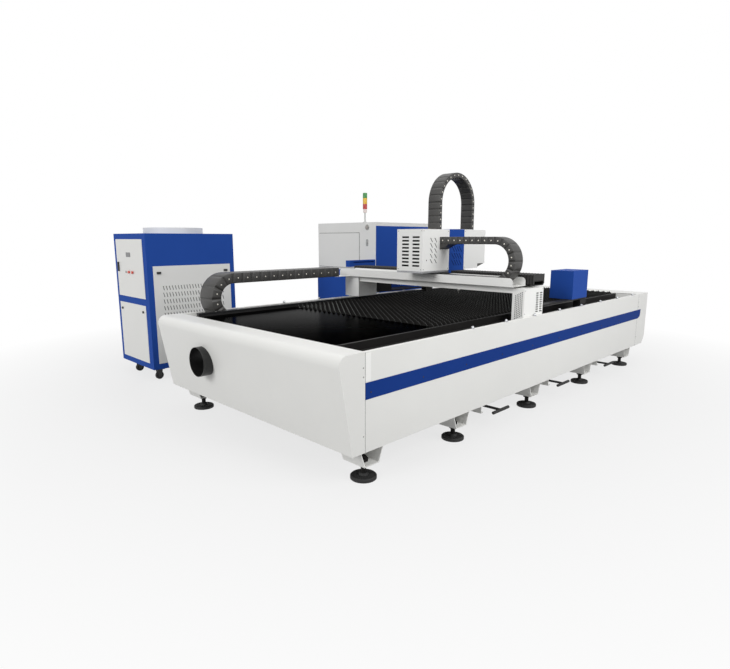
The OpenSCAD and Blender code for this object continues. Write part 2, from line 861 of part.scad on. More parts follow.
// plate that rides the beam, with bearing blocks and the upright plate of the cutting axis
module carriage_plate() color(steel) place() {
    box(cover_x, zplate_x + zplate_t, head_y, head_y + head_w, plate_z, head_z);
    for (x = yrail_x, y = [head_y + 15, head_y + head_w - 95]) plate_xz(y, 80) difference() {
        rect(x - 30, x + 30, beam_top + 4, plate_z);
        rect(x - yrail_w / 2 - slide, x + yrail_w / 2 + slide, beam_top, yrail_z1 + slide);
    }
    box(zplate_x, zplate_x + zplate_t, head_y + 16, head_y + head_w - 16, plate_z - 90, head_top - 30);
    for (s = [-1, 1]) translate([zplate_x + zplate_t, head_mid + s * zrail_off, plate_z - 80])
        linear_extrude(head_top - plate_z + 40) rotate(-90) rail_section(zrail_w, zrail_h);
}

// slots of width w and height h in rows, each leaning by s, centred on the origin
module slant_slots(cols, rows, dx, dz, w, h, s) {
    a = (s + w) / 2;
    b = (s - w) / 2;
    for (i = [0:cols - 1], j = [0:rows - 1])
        translate([(i - (cols - 1) / 2) * dx, (j - (rows - 1) / 2) * dz])
            polygon([[-a, h / 2], [-b, h / 2], [a, -h / 2], [b, -h / 2]]);
}

// white cover of the carriage, open below
module carriage_cover() color(white) place() difference() {
    box(cover_x, middle_x, head_y, head_y + head_w, head_z, head_top);
    box(cover_x + cover_t, middle_x - cover_t, head_y + cover_t, head_y + head_w - cover_t,
        head_z - 1, head_top - cover_t);
    bar_x(cover_x - 1, cover_t + 2) for (i = [0:1]) {
        slot_rows_2d(head_y + 32 + i * 115, head_y + 108 + i * 115, head_z + 30, head_top - 52, 9);
    }
    translate([cover_x + 150, 0, head_z + 170]) plate_xz(head_y - 1, cover_t + 2)
        slant_slots(2, 5, 58, 44, 10, 36, 28);
    rod_y(cover_x + 58, head_y - 1, head_y + cover_t + 1, head_z + 90, 6);
}

// coloured bridge between the two white covers, with slanted slots
module middle_cover() color(blue) place() difference() {
    box(middle_x, axis_x, head_y - sheet, head_y + head_w + sheet, plate_z - 12, head_top + sheet);
    box(middle_x - 1, axis_x + 1, head_y, head_y + head_w, plate_z - 13, head_top);
    translate([middle_x + 110, 0, head_z + 150]) plate_xz(head_y - sheet - 1, sheet + 2)
        slant_slots(4, 4, 36, 60, 9, 50, 42);
}

// cover of the cutting axis, open below and behind; its lower end corner is notched on the near
// side and cut slantwise on the far one
module axis_cover() color(white) place() difference() {
    box(axis_x, axis_end, head_y, head_y + head_w, head_z, head_top);
    box(axis_x - 1, axis_end - cover_t, head_y + cover_t, head_y + head_w - cover_t,
        head_z - 1, head_top - cover_t);
    box(zplate_x + zplate_t + 10, axis_end - 30, head_mid - zc_w / 2 - 10, head_mid + zc_w / 2 + 10,
        head_top - cover_t - 1, head_top + 1);
    box(axis_end - notch_l, axis_end + 1, head_y - 1, head_y + cover_t + 1, head_z - 1, head_z + notch_h);
    box(axis_end - cover_t - 1, axis_end + 1, head_y - 1, head_y + head_w + 1, head_z - 1, head_z + notch_h);
    plate_xz(head_y + head_w - cover_t - 1, cover_t + 2) polygon([[axis_end - notch_l, head_z - 1],
        [axis_end + 1, head_z - 1], [axis_end + 1, head_z + notch_h]]);
}

// moving run of the beam chain with the bracket that holds it to the carriage cover
module y_chain_upper_run() color(black) place() {
    y_chain_place(yc_top) chain_run(head_y - yc_cy - chain_gap, yc_w, yc_h, yc_pitch);
    bar_x(yc_x, yc_w) polygon([[head_y, yc_top], [head_y - 90, yc_top], [head_y, yc_top - 46]]);
}

module y_chain_loop() color(black) place()
    translate([yc_x + yc_w, yc_cy, yc_low + yc_r + yc_h / 2]) rotate([0, 0, 90])
        rotate([0, 90, 0]) chain_loop(yc_r, yc_w, yc_h, 8);

// arched chain from the carriage cover to the cutting axis
module z_chain() color(black) place() translate([0, head_mid - zc_w / 2, 0]) {
    z1 = head_top + zc_leg;
    lift = tab_z + tab_t + chain_gap - head_top;
    translate([zc_x - zc_t / 2, 0, z1]) rotate([0, 90, 0]) chain_run(zc_leg, zc_w, zc_t, yc_pitch);
    translate([zc_mid + zc_r - zc_t / 2, 0, z1]) rotate([0, 90, 0])
        chain_run(zc_leg - lift, zc_w, zc_t, yc_pitch);
    translate([zc_mid, 0, z1]) rotate([0, 180, 0]) chain_loop(zc_r, zc_w, zc_t, 13);
}

// vertical slide with its bearing blocks and the tab under the arched chain
module z_slide() color(steel) place() {
    z0 = head_z - 50;
    box(slide_x, slide_x + slide_t, head_mid - 103, head_mid + 103, z0, z0 + 240);
    for (s = [-1, 1], z = [z0 + 20, z0 + 150]) translate([0, head_mid + s * zrail_off, z])
        linear_extrude(70) difference() {
            rect(zplate_x + zplate_t + 4, slide_x, -22, 22);
            rect(zplate_x + zplate_t, zplate_x + zplate_t + zrail_h + slide,
                -zrail_w / 2 - slide, zrail_w / 2 + slide);
        }
    box(slide_x, slide_x + slide_t, head_mid - 33, head_mid + 33, z0 + 240, tab_z + tab_t);
    box(slide_x + slide_t, zc_mid + zc_r + zc_t / 2, head_mid - zc_w / 2, head_mid + zc_w / 2,
        tab_z, tab_z + tab_t);
}

// cutting head on its bracket: collimator, focus body and nozzle
module cutting_head() color(black) place() {
    box(slide_x + slide_t, tool_x, head_mid - 30, head_mid + 30, head_z + 20, head_z + 110);
    translate([tool_x, head_mid, 0]) rotate_extrude() polygon([[0, tool_tip], [2, tool_tip],
        [5, tool_tip + 8], [14, tool_tip + 30], [14, tool_tip + 44], [24, tool_tip + 60],
        [24, tool_tip + 90], [tool_r, tool_tip + 100], [tool_r, head_z + 140],
        [tool_r - 8, head_z + 150], [tool_r - 8, head_z + 210], [0, head_z + 210]]);
}

// lower cabinet on a set-back plinth
module cabinet_base() color(blue) place() {
    difference() {
        box(cab_x + 40, cab_x + cabinet_l - 40, cab_y + 40, cab_y + cabinet_w - 40, 0, plinth_h);
        box(cab_x + 60, cab_x + cabinet_l - 60, cab_y + 60, cab_y + cabinet_w - 60, -1, plinth_h - cab_wall);
    }
    difference() {
        box(cab_x - 12, cab_x + cabinet_l, cab_y, cab_y + cabinet_w + 12, plinth_h, base_h);
        box(cab_x + cab_wall, cab_x + cabinet_l + 1, cab_y + cab_wall, cab_y + cabinet_w - cab_wall,
            plinth_h + cab_wall, base_h - cab_wall);
    }
}

// upper cabinet: hollow behind its door
module cabinet_upper() color(white) place() difference() {
    box(cab_x, cab_x + cabinet_l, cab_y, cab_y + cabinet_w, base_h, cabinet_h);
    box(cab_x + cab_wall, cab_x + cabinet_l - cab_wall, cab_y + cab_wall, cab_y + cabinet_w - cab_wall,
        base_h + cab_wall, cabinet_h - cab_wall);
    box(cab_x - 1, cab_x + cab_wall + 1, door_y0 + 10, cab_y + cabinet_w - 40, door_z0 + 10, door_z1 - 10);
}

// coloured side sheet of the cabinet, rear sheet of its base and the narrow side shelf
module cabinet_panels() color(blue) place() {
    box(cab_x + 8, cab_x + cabinet_l - 8, cab_y - panel_t, cab_y, base_h + 6, cabinet_h - 42);
    box(cab_x + cabinet_l, cab_x + cabinet_l + panel_t, cab_y, cab_y + cabinet_w, plinth_h, base_h);
    difference() {
        box(cab_x - shelf_l, cab_x, cab_y, cab_y + shelf_w, shelf_z0, shelf_z0 + shelf_h);
        box(cab_x - shelf_l + 60, cab_x - 20, cab_y - 1, cab_y + 30, shelf_z0 + 40, shelf_z0 + 56);
    }
}

// rolled edge of a door, round its hinge axis, in front of a wall at x
module hinge_edge(x, y, z0, z1) {
    translate([x - slide - door_t / 2, y, z0]) cylinder(h = z1 - z0, d = door_t);
}

// door of the upper cabinet with a recessed grip
module cabinet_door() color(white) place() {
    difference() {
        box(cab_x - door_t - slide, cab_x - slide, door_y0, door_y1, door_z0, door_z1);
        rod_x(cab_x - door_t - 1, cab_x - 2, door_y0 + 45, (door_z0 + door_z1) / 2, 16);
    }
    hinge_edge(cab_x, door_y1, door_z0, door_z1);
}

// rotary switch on the cabinet's front
module cabinet_knob() color(black) place()
    translate([cab_x - slide, knob_y, cabinet_h - 58]) rotate([0, -90, 0]) {
        cylinder(h = 12, r = 20);
        translate([-17, -5, 12]) cube([34, 10, 14]);
    }

// pole and lens stack on the cabinet's top
module signal_tower() color(steel) place() translate([tower_x, tower_y, cabinet_h]) rotate_extrude()
    polygon([[0, 0], [tower_r, 0], [tower_r, 8], [9, 12], [9, 114], [tower_r - 4, 118],
        [tower_r - 4, 158], [tower_r, 160], [tower_r, 218], [tower_r - 1, 219], [tower_r, 220],
        [tower_r, 286], [tower_r - 1, 287], [tower_r, 288], [tower_r, 342], [tower_r - 5, 347], [0, 347]]);

// chiller body: hollow, open behind its upper door, below its fan and behind its side panel
module chiller_cabinet() color(blue) place() difference() {
    box(chi_x, chi_x + chiller_l, chi_y, chi_y + chiller_w, chiller_z, chiller_h);
    box(chi_x + chi_wall, chi_x + chiller_l - chi_wall, chi_y + chi_wall, chi_y + chiller_w - chi_wall,
        chi_split + chi_wall, chiller_h - chi_wall);
    box(chi_x + chi_wall, chi_x + chiller_l - chi_wall, chi_y + chi_wall, chi_y + chiller_w - chi_wall,
        chiller_z + chi_wall, chi_split);
    box(chi_x - 1, chi_x + chi_wall + 1, chi_door_y0 + 10, chi_door_y1 - 10,
        chi_door_z0 + 10, chi_door_z1 - 10);
    box(chi_panel_x0 + 15, chi_panel_x1 - 15, chi_y - 1, chi_y + chi_wall + 1,
        chi_low_z0 + 15, chi_split - 20);
    translate([chi_x + chiller_l / 2, chi_y + chiller_w / 2, chiller_h - chi_wall - 1])
        cylinder(h = chi_wall + 2, r = shroud_d / 2 - 8);
}

// hinged control door with its display and two button holes
module chiller_upper_door() color(white) place() {
    x = chi_x - slide;
    difference() {
        box(x - door_t, x, chi_door_y0, chi_door_y1, chi_door_z0, chi_door_z1);
        for (y = button_y) rod_x(x - door_t - 1, x + 1, y, button_z, button_r - 4 + slide);
    }
    box(x - door_t - 3, x - door_t, chi_door_y0 + 290, chi_door_y0 + 390, button_z + 150, button_z + 195);
    rod_x(x - door_t - 8, x - door_t, lamp_y, button_z, button_r - 3);
    hinge_edge(chi_x, chi_door_y0, chi_door_z0, chi_door_z1);
    box(x - door_t - 14, x - door_t, chi_door_y1 - 55, chi_door_y1 - 35, button_z, button_z + 95);
}

// push button with a stem through the door
module chiller_button(y) {
    x = chi_x - slide - door_t;
    rod_x(x - 16, x - 6, y, button_z, button_r);
    rod_x(x - 6, x + door_t - 1, y, button_z, button_r - 4);
}

module chiller_button_1() color(red) place() chiller_button(button_y[0]);

module chiller_button_2() color(red) place() chiller_button(button_y[1]);

// lower front panel, and side panel with rows of slanted slots
module chiller_panels() color(white) place() {
    box(chi_x - panel_t, chi_x, chi_door_y0 + 10, chi_door_y1, chi_low_z0, chi_low_z1);
    difference() {
        box(chi_panel_x0, chi_panel_x1, chi_y - panel_t, chi_y, chi_low_z0, chi_panel_z1);
        translate([(chi_panel_x0 + chi_panel_x1) / 2, 0, chi_panel_z1 - 346])
            plate_xz(chi_y - panel_t - 1, panel_t + 2)
            slant_slots(slot_n, slot_rows, slot_step, 66, 7, 42, 10);
    }
}

// fork of a castor, drawn round its wheel centre, with the king pin it swivels on
module castor_fork() {
    z1 = chiller_z - castor_plate;
    for (s = [-1, 1]) translate([0, s * (wheel_w / 2 + fork_t / 2 + 1.5), 0]) plate_xz(-fork_t / 2, fork_t)
        difference() {
            polygon([[-13, wheel_r - 13], [13, wheel_r - 13], [27, z1 - 14], [-27, z1 - 14]]);
            translate([0, wheel_r]) circle(axle_r + 0.05);
        }
    box(-27, 27, -wheel_w / 2 - fork_t - 1.5, wheel_w / 2 + fork_t + 1.5, z1 - 14, z1 - slide);
    translate([0, 0, z1 - slide]) cylinder(h = castor_plate + slide - 1, r = pin_r);
}

// tyre and axle in one
module castor_wheel() {
    h = wheel_w / 2;
    translate([0, 0, wheel_r]) rotate([-90, 0, 0]) rotate_extrude() polygon([[0, -h - fork_t - 1.5],
        [axle_r, -h - fork_t - 1.5], [axle_r, -h - 1], [14, -h - 1], [14, -h + 4], [wheel_r - 10, -h + 4],
        [wheel_r - 6, -h], [wheel_r, -h + 6], [wheel_r, h - 6], [wheel_r - 6, h], [wheel_r - 10, h - 4],
        [14, h - 4], [14, h + 1], [axle_r, h + 1], [axle_r, h + fork_t + 1.5], [0, h + fork_t + 1.5]]);
}

module castor_fork_1() color(black) place() translate([castor_x[0], castor_y[0], 0]) castor_fork();

module castor_fork_2() color(black) place() translate([castor_x[0], castor_y[1], 0]) castor_fork();

module castor_wheel_1() color(black) place() translate([castor_x[0], castor_y[0], 0]) castor_wheel();

module castor_wheel_2() color(black) place() translate([castor_x[0], castor_y[1], 0]) castor_wheel();

module rear_castor_wheels() color(black) place()
    for (y = castor_y) translate([castor_x[1], y, 0]) castor_wheel();

// black fittings: castor plates, rear forks and latches of the chiller, locks of both cabinets
module black_fittings() color(black) place() {
    for (x = castor_x, y = castor_y) difference() {
        box(x - 45, x + 45, y - 40, y + 40, chiller_z - castor_plate, chiller_z);
        translate([castor_x[0], y, chiller_z - castor_plate - 1])
            cylinder(h = castor_plate + 2, r = pin_r + 0.05);
    }
    for (y = castor_y) translate([castor_x[1], y, 0]) {
        castor_fork();
        translate([0, 0, chiller_z - castor_plate - slide]) cylinder(h = slide, r = 20);
    }
    for (x = [chi_panel_x0 + 55, chi_panel_x1 - 55])
        box(x - 20, x + 20, chi_y - panel_t - 10, chi_y - panel_t, chi_panel_z1 - 76, chi_panel_z1 - 54);
    for (y = [chi_door_y0 + 68, chi_door_y1 - 57])
        rod_x(chi_x - panel_t - 10, chi_x - panel_t, y, chi_low_z1 - 65, 12);
    rod_x(cab_x - 10, cab_x, knob_y, cabinet_h - 234, 12);
}

// shroud ring with a guard of rings on six spokes
module chiller_fan_shroud() color(white) place()
    translate([chi_x + chiller_l / 2, chi_y + chiller_w / 2, chiller_h]) {
        rotate_extrude($fn = 96) {
            rect(shroud_d / 2 - shroud_t, shroud_d / 2, 0, shroud_h);
            for (r = [shroud_d * 0.14, shroud_d * 0.28, shroud_d * 0.4])
                rect(r - 3, r + 3, shroud_h - 13, shroud_h - 7);
        }
        for (a = [30:60:330]) rotate(a)
            box(20, shroud_d / 2 - shroud_t / 2, -4, 4, shroud_h - 14, shroud_h - 6);
        translate([0, 0, shroud_h - 24]) cylinder(h = 19, r = 30);
    }

// fan below the hub of the guard
module chiller_fan() color(black) place()
    translate([chi_x + chiller_l / 2, chi_y + chiller_w / 2, chiller_h + shroud_h - 24 - slide]) {
        translate([0, 0, -30]) cylinder(h = 30, r = fan_hub);
        for (a = [0:72:288]) rotate(a) translate([fan_hub - 5, 0, -15]) rotate([28, 0, 0])
            box(0, fan_r - fan_hub, -fan_chord / 2, fan_chord / 2, -2, 2);
    }

side_frames();
cross_members();
front_end_cover();
rear_end_cover();
side_skins();
side_stripes();
foot_brackets();
levelling_feet();
exhaust_spigot();
slat_combs();
support_slats();
table_plates();
x_guide_rails();
ball_transfer_units();
tray_runners();
slag_tray_1();
slag_tray_2();
slag_tray_3();
x_chain_lower_run();
gantry_beam();
gantry_posts();
beam_chain_trough();
gantry_saddles();
near_leg_cover();
far_leg_cover();
motor_covers();
y_guide_rails();
bellows_near();
bellows_far();
x_chain_upper_run();
y_chain_lower_run();
x_chain_loop();
carriage_plate();
carriage_cover();
middle_cover();
axis_cover();
y_chain_upper_run();
z_chain();
y_chain_loop();
z_slide();
cutting_head();
cabinet_base();
cabinet_upper();
cabinet_panels();
cabinet_door();
cabinet_knob();
signal_tower();
chiller_cabinet();
chiller_upper_door();
chiller_panels();
black_fittings();
chiller_fan_shroud();
chiller_fan();
chiller_button_1();
chiller_button_2();
castor_fork_1();
castor_fork_2();
castor_wheel_1();
castor_wheel_2();
rear_castor_wheels();
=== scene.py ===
# %% [markdown]
# # Dressing an open-bed sheet laser cutter
# The machine is a white steel bed with a saw-tooth slat table, a gantry that rolls along it, a
# cutting head on the gantry, three drag chains, a control cabinet and a water chiller on castors.
# The solids come packed, in metres, with every node already at its place. This script gives them
# their paint, plastic and metal, rebuilds the pieces that bend or need softer edges, and adds thin
# trim such as screws, and sheets of painted shade and light at seams, slots and panel ends.

# %% Load the imported part
import math

import bmesh
import bpy
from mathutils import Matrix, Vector


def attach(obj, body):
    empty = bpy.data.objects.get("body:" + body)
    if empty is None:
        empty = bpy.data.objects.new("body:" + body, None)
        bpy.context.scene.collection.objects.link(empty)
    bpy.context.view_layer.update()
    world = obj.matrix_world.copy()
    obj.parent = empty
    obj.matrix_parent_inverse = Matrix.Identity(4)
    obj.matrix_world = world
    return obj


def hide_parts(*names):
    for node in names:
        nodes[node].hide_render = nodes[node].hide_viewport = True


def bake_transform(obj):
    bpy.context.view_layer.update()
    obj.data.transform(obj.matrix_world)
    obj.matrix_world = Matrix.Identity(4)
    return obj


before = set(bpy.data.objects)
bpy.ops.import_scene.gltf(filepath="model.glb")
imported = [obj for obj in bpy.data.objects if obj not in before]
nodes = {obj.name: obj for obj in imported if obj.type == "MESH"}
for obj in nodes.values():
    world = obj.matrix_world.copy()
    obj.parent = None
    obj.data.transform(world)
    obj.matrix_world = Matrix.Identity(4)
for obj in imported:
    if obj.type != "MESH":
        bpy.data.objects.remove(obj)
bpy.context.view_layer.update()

# %% [markdown]
# ## One ruler for the whole script
# The drawing of the machine counts millimetres from the floor below the bed's near front seam:
# X along the bed, Y across it, Z up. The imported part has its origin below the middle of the
# outline instead, so one function moves a drawing point to the scene. The directions get names too.

# %% Drawing points
SHIFT_X, SHIFT_Y = -2174.5, -1905.5
BED_WIDTH = 2140
ALONG_X, ALONG_Y, UPWARD = Vector((1, 0, 0)), Vector((0, 1, 0)), Vector((0, 0, 1))
NEAR, FRONT = Vector((0, -1, 0)), Vector((-1, 0, 0))


def at(x, y, z):
    return Vector(((x + SHIFT_X) / 1000, (y + SHIFT_Y) / 1000, z / 1000))


def drawing(point):
    return point.x * 1000 - SHIFT_X, point.y * 1000 - SHIFT_Y, point.z * 1000


print("front seam at", tuple(at(0, 0, 0)))

# %% [markdown]
# ## The camera
# The photograph was taken from the front near corner with a fairly wide lens. Its place and lens
# were worked out from the straight edges of bed, cabinet and chiller.

# %% Camera
LENS_MM, SENSOR_MM, SIGHT_M = 26.14, 36, 100
HEADING, PITCH = math.radians(44.91), math.radians(10.23)
CAMERA_PLACE = -1988.61, -1979.92, 1381.51
camera_data = bpy.data.cameras.new("camera")
camera_data.lens = LENS_MM
camera_data.sensor_width = SENSOR_MM
camera_data.clip_end = SIGHT_M
camera = bpy.data.objects.new("camera", camera_data)
bpy.context.scene.collection.objects.link(camera)
look = Vector((math.cos(HEADING) * math.cos(PITCH), math.sin(HEADING) * math.cos(PITCH),
               -math.sin(PITCH)))
camera.location = at(*CAMERA_PLACE)
camera.rotation_mode = "QUATERNION"
camera.rotation_quaternion = look.to_track_quat("-Z", "Y")
bpy.context.scene.camera = camera
bpy.context.scene.view_settings.view_transform = "Standard"
print("camera at", tuple(camera.location))

# %% [markdown]
# ## Helpers for materials
# Colours are written as sRGB hex values, as a colour picker shows them, and turned to the linear
# values that the shader wants. One small function adds a node with its settings and its inputs,
# where an input is either a plain value or another node's output.


# %% Colour and node helpers
def linear(code):
    channels = [int(code[i:i + 2], 16) / 255 for i in (1, 3, 5)]
    return tuple(c / 12.92 if c <= 0.04045 else ((c + 0.055) / 1.055) ** 2.4 for c in channels) + (1,)


def add_node(tree, kind, inputs=None, **settings):
    node = tree.nodes.new(kind)
    for name, value in settings.items():
        setattr(node, name, value)
    for name, value in (inputs or {}).items():
        if isinstance(value, bpy.types.NodeSocket):
            tree.links.new(value, node.inputs[name])
        else:
            node.inputs[name].default_value = value
    return node


def per_metre(millimetres):
    return 1000 / millimetres


def new_material(name):
    material = bpy.data.materials.new(name)
    material.use_nodes = True
    material.node_tree.nodes.clear()
    return material, material.node_tree


print("mid grey #808080 is", round(linear("#808080")[0], 3))

# %% [markdown]
# ## Powder coat
# Bed, covers and cabinets are folded steel sheet with a baked polyester powder. It flows into a
# satin skin with a slight orange peel: dimples of 2 mm or so. Those are far below a pixel here,
# so the bump is drawn at 9 mm. A slow change of tone over half a metre keeps large panels alive.
# The white is satin. A brighter copy of the same white is painted light, for covers that should look more
# strongly lit. The blue is a deep matt powder that hardly mirrors the bright room, so its share of reflection
# is set much lower. A dark grey copy of the coat paints the shade inside a notched corner of the head.


# %% Powder coat
def powder_coat(name, colour, shade, roughness, level=0.5, peel_mm=9, cloud_mm=520):
    material, tree = new_material(name)
    place = add_node(tree, "ShaderNodeTexCoord").outputs["Object"]
    cloud = add_node(tree, "ShaderNodeTexNoise", {"Vector": place, "Scale": per_metre(cloud_mm),
                                                  "Detail": 3.0, "Roughness": 0.55})
    tone = add_node(tree, "ShaderNodeMix", {"Factor": cloud.outputs["Fac"]}, data_type="RGBA")
    tone.inputs["A"].default_value = linear(shade)
    tone.inputs["B"].default_value = linear(colour)
    peel = add_node(tree, "ShaderNodeTexNoise", {"Vector": place, "Scale": per_metre(peel_mm),
                                                 "Detail": 2.0})
    bump = add_node(tree, "ShaderNodeBump", {"Height": peel.outputs["Fac"], "Strength": 0.06,
                                             "Distance": 0.001})
    gloss = add_node(tree, "ShaderNodeMapRange", {"Value": cloud.outputs["Fac"],
                                                  "To Min": roughness - 0.05, "To Max": roughness + 0.06})
    shader = add_node(tree, "ShaderNodeBsdfPrincipled", {
        "Base Color": tone.outputs["Result"], "Roughness": gloss.outputs["Result"],
        "Normal": bump.outputs["Normal"], "IOR": 1.5, "Specular IOR Level": level})
    add_node(tree, "ShaderNodeOutputMaterial", {"Surface": shader.outputs["BSDF"]})
    return material


white_coat = powder_coat("white_polyester_powder_coat", "#E9E9E6", "#E1E1DE", 0.38)
# painted light: a brighter copy of the same white, for covers that should look more lit
lit_white_coat = powder_coat("white_powder_coat_painted_light", "#F6F6F4", "#F0F0ED", 0.4)
grey_coat = powder_coat("light_grey_polyester_powder_coat", "#CFCFCB", "#C5C5C1", 0.42)
# painted shade: a dark grey copy of the coat, for the shaded inside of a cover
painted_shade_grey = powder_coat("painted_shade_grey", "#6E6E6A", "#646461", 0.6, 0.2)
blue_coat = powder_coat("blue_polyester_powder_coat", "#2A51A6", "#254A9B", 0.5, 0.03)
stripe_coat = powder_coat("dark_blue_sprayed_stripe", "#1D3E88", "#19377F", 0.5, 0.02)
print("powder coats ready")

# %% [markdown]
# ## Black parts
# The chains are moulded glass-filled nylon: dark grey, matt, with a fine mould grain. The slats
# and decks are mild steel with a thin black oxide or paint, a little blotchy. The front plate of
# the table is oiled, blackened steel: a dark metal that mirrors its surroundings dimly, even at the
# flat angle it is seen at, so its edge tint is dark too. The slats are cut by laser, which leaves
# their narrow edges brighter than their faces.


# %% Black plastics and black steel
BLOTCH_MM = 260


def dark_surface(name, colour, shade, roughness, spread, grain_mm, depth, metallic=0.0, level=0.5,
                 edge="#FFFFFF"):
    material, tree = new_material(name)
    place = add_node(tree, "ShaderNodeTexCoord").outputs["Object"]
    grain = add_node(tree, "ShaderNodeTexNoise", {"Vector": place, "Scale": per_metre(grain_mm),
                                                  "Detail": 4.0, "Roughness": 0.6})
    blotch = add_node(tree, "ShaderNodeTexNoise", {"Vector": place, "Scale": per_metre(BLOTCH_MM),
                                                   "Detail": 3.0})
    tone = add_node(tree, "ShaderNodeMix", {"Factor": blotch.outputs["Fac"]}, data_type="RGBA")
    tone.inputs["A"].default_value = linear(shade)
    tone.inputs["B"].default_value = linear(colour)
    gloss = add_node(tree, "ShaderNodeMapRange", {"Value": blotch.outputs["Fac"],
                                                  "To Min": roughness - spread, "To Max": roughness + spread})
    bump = add_node(tree, "ShaderNodeBump", {"Height": grain.outputs["Fac"], "Strength": depth,
                                             "Distance": 0.001})
    shader = add_node(tree, "ShaderNodeBsdfPrincipled", {
        "Base Color": tone.outputs["Result"], "Roughness": gloss.outputs["Result"],
        "Normal": bump.outputs["Normal"], "Metallic": metallic, "Specular IOR Level": level,
        "Specular Tint": linear(edge)})
    add_node(tree, "ShaderNodeOutputMaterial", {"Surface": shader.outputs["BSDF"]})
    return material


chain_nylon = dark_surface("glass_filled_nylon_moulded", "#3C3B39", "#323130", 0.46, 0.06, 5, 0.10)
slat_steel = dark_surface("black_oxide_mild_steel", "#1F1E1D", "#161515", 0.55, 0.10, 14, 0.18, level=0.12)
cut_edge = dark_surface("laser_cut_steel_edge", "#3E403E", "#2F312F", 0.5, 0.08, 8, 0.1, 0.2, 0.3)
# This black also paints shade: sheets of it sit behind vent slots.
black_paint_and_slot_shade = dark_surface("black_deck_paint_and_painted_shade", "#222120", "#1A1919", 0.5, 0.06, 10, 0.10, level=0.1)
oiled_plate = dark_surface("oiled_black_steel_plate", "#323232", "#2A2A2A", 0.16, 0.03, 40, 0.03,
                           metallic=1.0, edge="#5A5A5A")
black_plastic = dark_surface("black_abs_moulded", "#1B1B1B", "#141414", 0.45, 0.05, 4, 0.08)
# Besides real rubber, this black paints shade: thin strips of it mark the gaps at panel joints and round the
# door.
black_rubber_and_gap_shade = dark_surface("black_rubber_and_gap_shade", "#171717", "#101010", 0.7, 0.06, 6, 0.16)
print("black materials ready")

# %% [markdown]
# ## Bare metal
# Rails, slides and loading balls are ground steel; the nozzle is nickel-plated. Grinding leaves
# fine lines along the part. They are drawn as noise stretched along X, at 1.5 mm across the lines,
# which is coarser than a real grinding mark so that it shows.


# %% Bare metals
def ground_metal(name, colour, roughness, line_mm=1.5, along_mm=60):
    material, tree = new_material(name)
    place = add_node(tree, "ShaderNodeTexCoord").outputs["Object"]
    stretch = add_node(tree, "ShaderNodeMapping", {
        "Vector": place,
        "Scale": (per_metre(along_mm), per_metre(line_mm), per_metre(line_mm))})
    lines = add_node(tree, "ShaderNodeTexNoise", {"Vector": stretch.outputs["Vector"], "Scale": 1.0,
                                                  "Detail": 2.0})
    gloss = add_node(tree, "ShaderNodeMapRange", {"Value": lines.outputs["Fac"],
                                                  "To Min": roughness - 0.08, "To Max": roughness + 0.1})
    bump = add_node(tree, "ShaderNodeBump", {"Height": lines.outputs["Fac"], "Strength": 0.08,
                                             "Distance": 0.0005})
    shader = add_node(tree, "ShaderNodeBsdfPrincipled", {
        "Base Color": linear(colour), "Metallic": 1.0, "Roughness": gloss.outputs["Result"],
        "Normal": bump.outputs["Normal"]})
    add_node(tree, "ShaderNodeOutputMaterial", {"Surface": shader.outputs["BSDF"]})
    return material


ground_steel = ground_metal("ground_bearing_steel", "#B9BABD", 0.28)
rail_steel = ground_metal("black_oxide_rail_steel", "#3A3A3B", 0.38)
zinc_steel = ground_metal("zinc_plated_steel", "#A7A8A6", 0.4, 3, 12)
nozzle_metal = ground_metal("nickel_plated_nozzle", "#C8C6C0", 0.3, 1.5, 1.5)
print("metals ready")

# %% [markdown]
# ## Coloured plastics
# Lamp lenses are clear-dyed acrylic with fine mould ribs round them, the push buttons are glossy
# ABS and the rivets of the chains are white nylon pins. Lens ribs are about 3 mm apart; they are
# drawn as rings along Z, 10 mm apart so that they show. At a scale of 1 the wave texture makes a
# little over three waves to the metre, so the scale is divided by that.

# %% Coloured plastics
WAVES_PER_METRE = 3.15
SPECK_MM = 7


def glossy_plastic(name, colour, roughness, rib_mm=0.0, coat=0.3):
    material, tree = new_material(name)
    place = add_node(tree, "ShaderNodeTexCoord").outputs["Object"]
    speck = add_node(tree, "ShaderNodeTexNoise", {"Vector": place, "Scale": per_metre(SPECK_MM),
                                                  "Detail": 2.0})
    height = speck.outputs["Fac"]
    if rib_mm:
        rings = add_node(tree, "ShaderNodeTexWave",
                         {"Vector": place, "Scale": per_metre(rib_mm) / WAVES_PER_METRE},
                         wave_type="BANDS", bands_direction="Z")
        height = rings.outputs["Fac"]
    bump = add_node(tree, "ShaderNodeBump", {"Height": height, "Strength": 0.4 if rib_mm else 0.04,
                                             "Distance": 0.001})
    gloss = add_node(tree, "ShaderNodeMapRange", {"Value": speck.outputs["Fac"],
                                                  "To Min": roughness - 0.04, "To Max": roughness + 0.04})
    shader = add_node(tree, "ShaderNodeBsdfPrincipled", {
        "Base Color": linear(colour), "Roughness": gloss.outputs["Result"],
        "Normal": bump.outputs["Normal"], "Coat Weight": coat, "Coat Roughness": 0.1})
    add_node(tree, "ShaderNodeOutputMaterial", {"Surface": shader.outputs["BSDF"]})
    return material


green_lens = glossy_plastic("green_acrylic_lens", "#2E8B3D", 0.2, 10)
yellow_lens = glossy_plastic("amber_acrylic_lens", "#E3B62C", 0.2, 10)
red_lens = glossy_plastic("red_acrylic_lens", "#B5251F", 0.2, 10)
pale_base = glossy_plastic("pale_abs_lamp_base", "#DDCFCB", 0.35)
red_button = glossy_plastic("red_abs_button", "#D9442F", 0.25)
grey_lamp = glossy_plastic("grey_abs_lamp", "#A9A5A0", 0.3)
display_bezel = glossy_plastic("dark_grey_abs_bezel", "#6E6F70", 0.35)
white_pin = glossy_plastic("white_nylon_pin", "#E8E4D8", 0.4)
print("plastics ready")

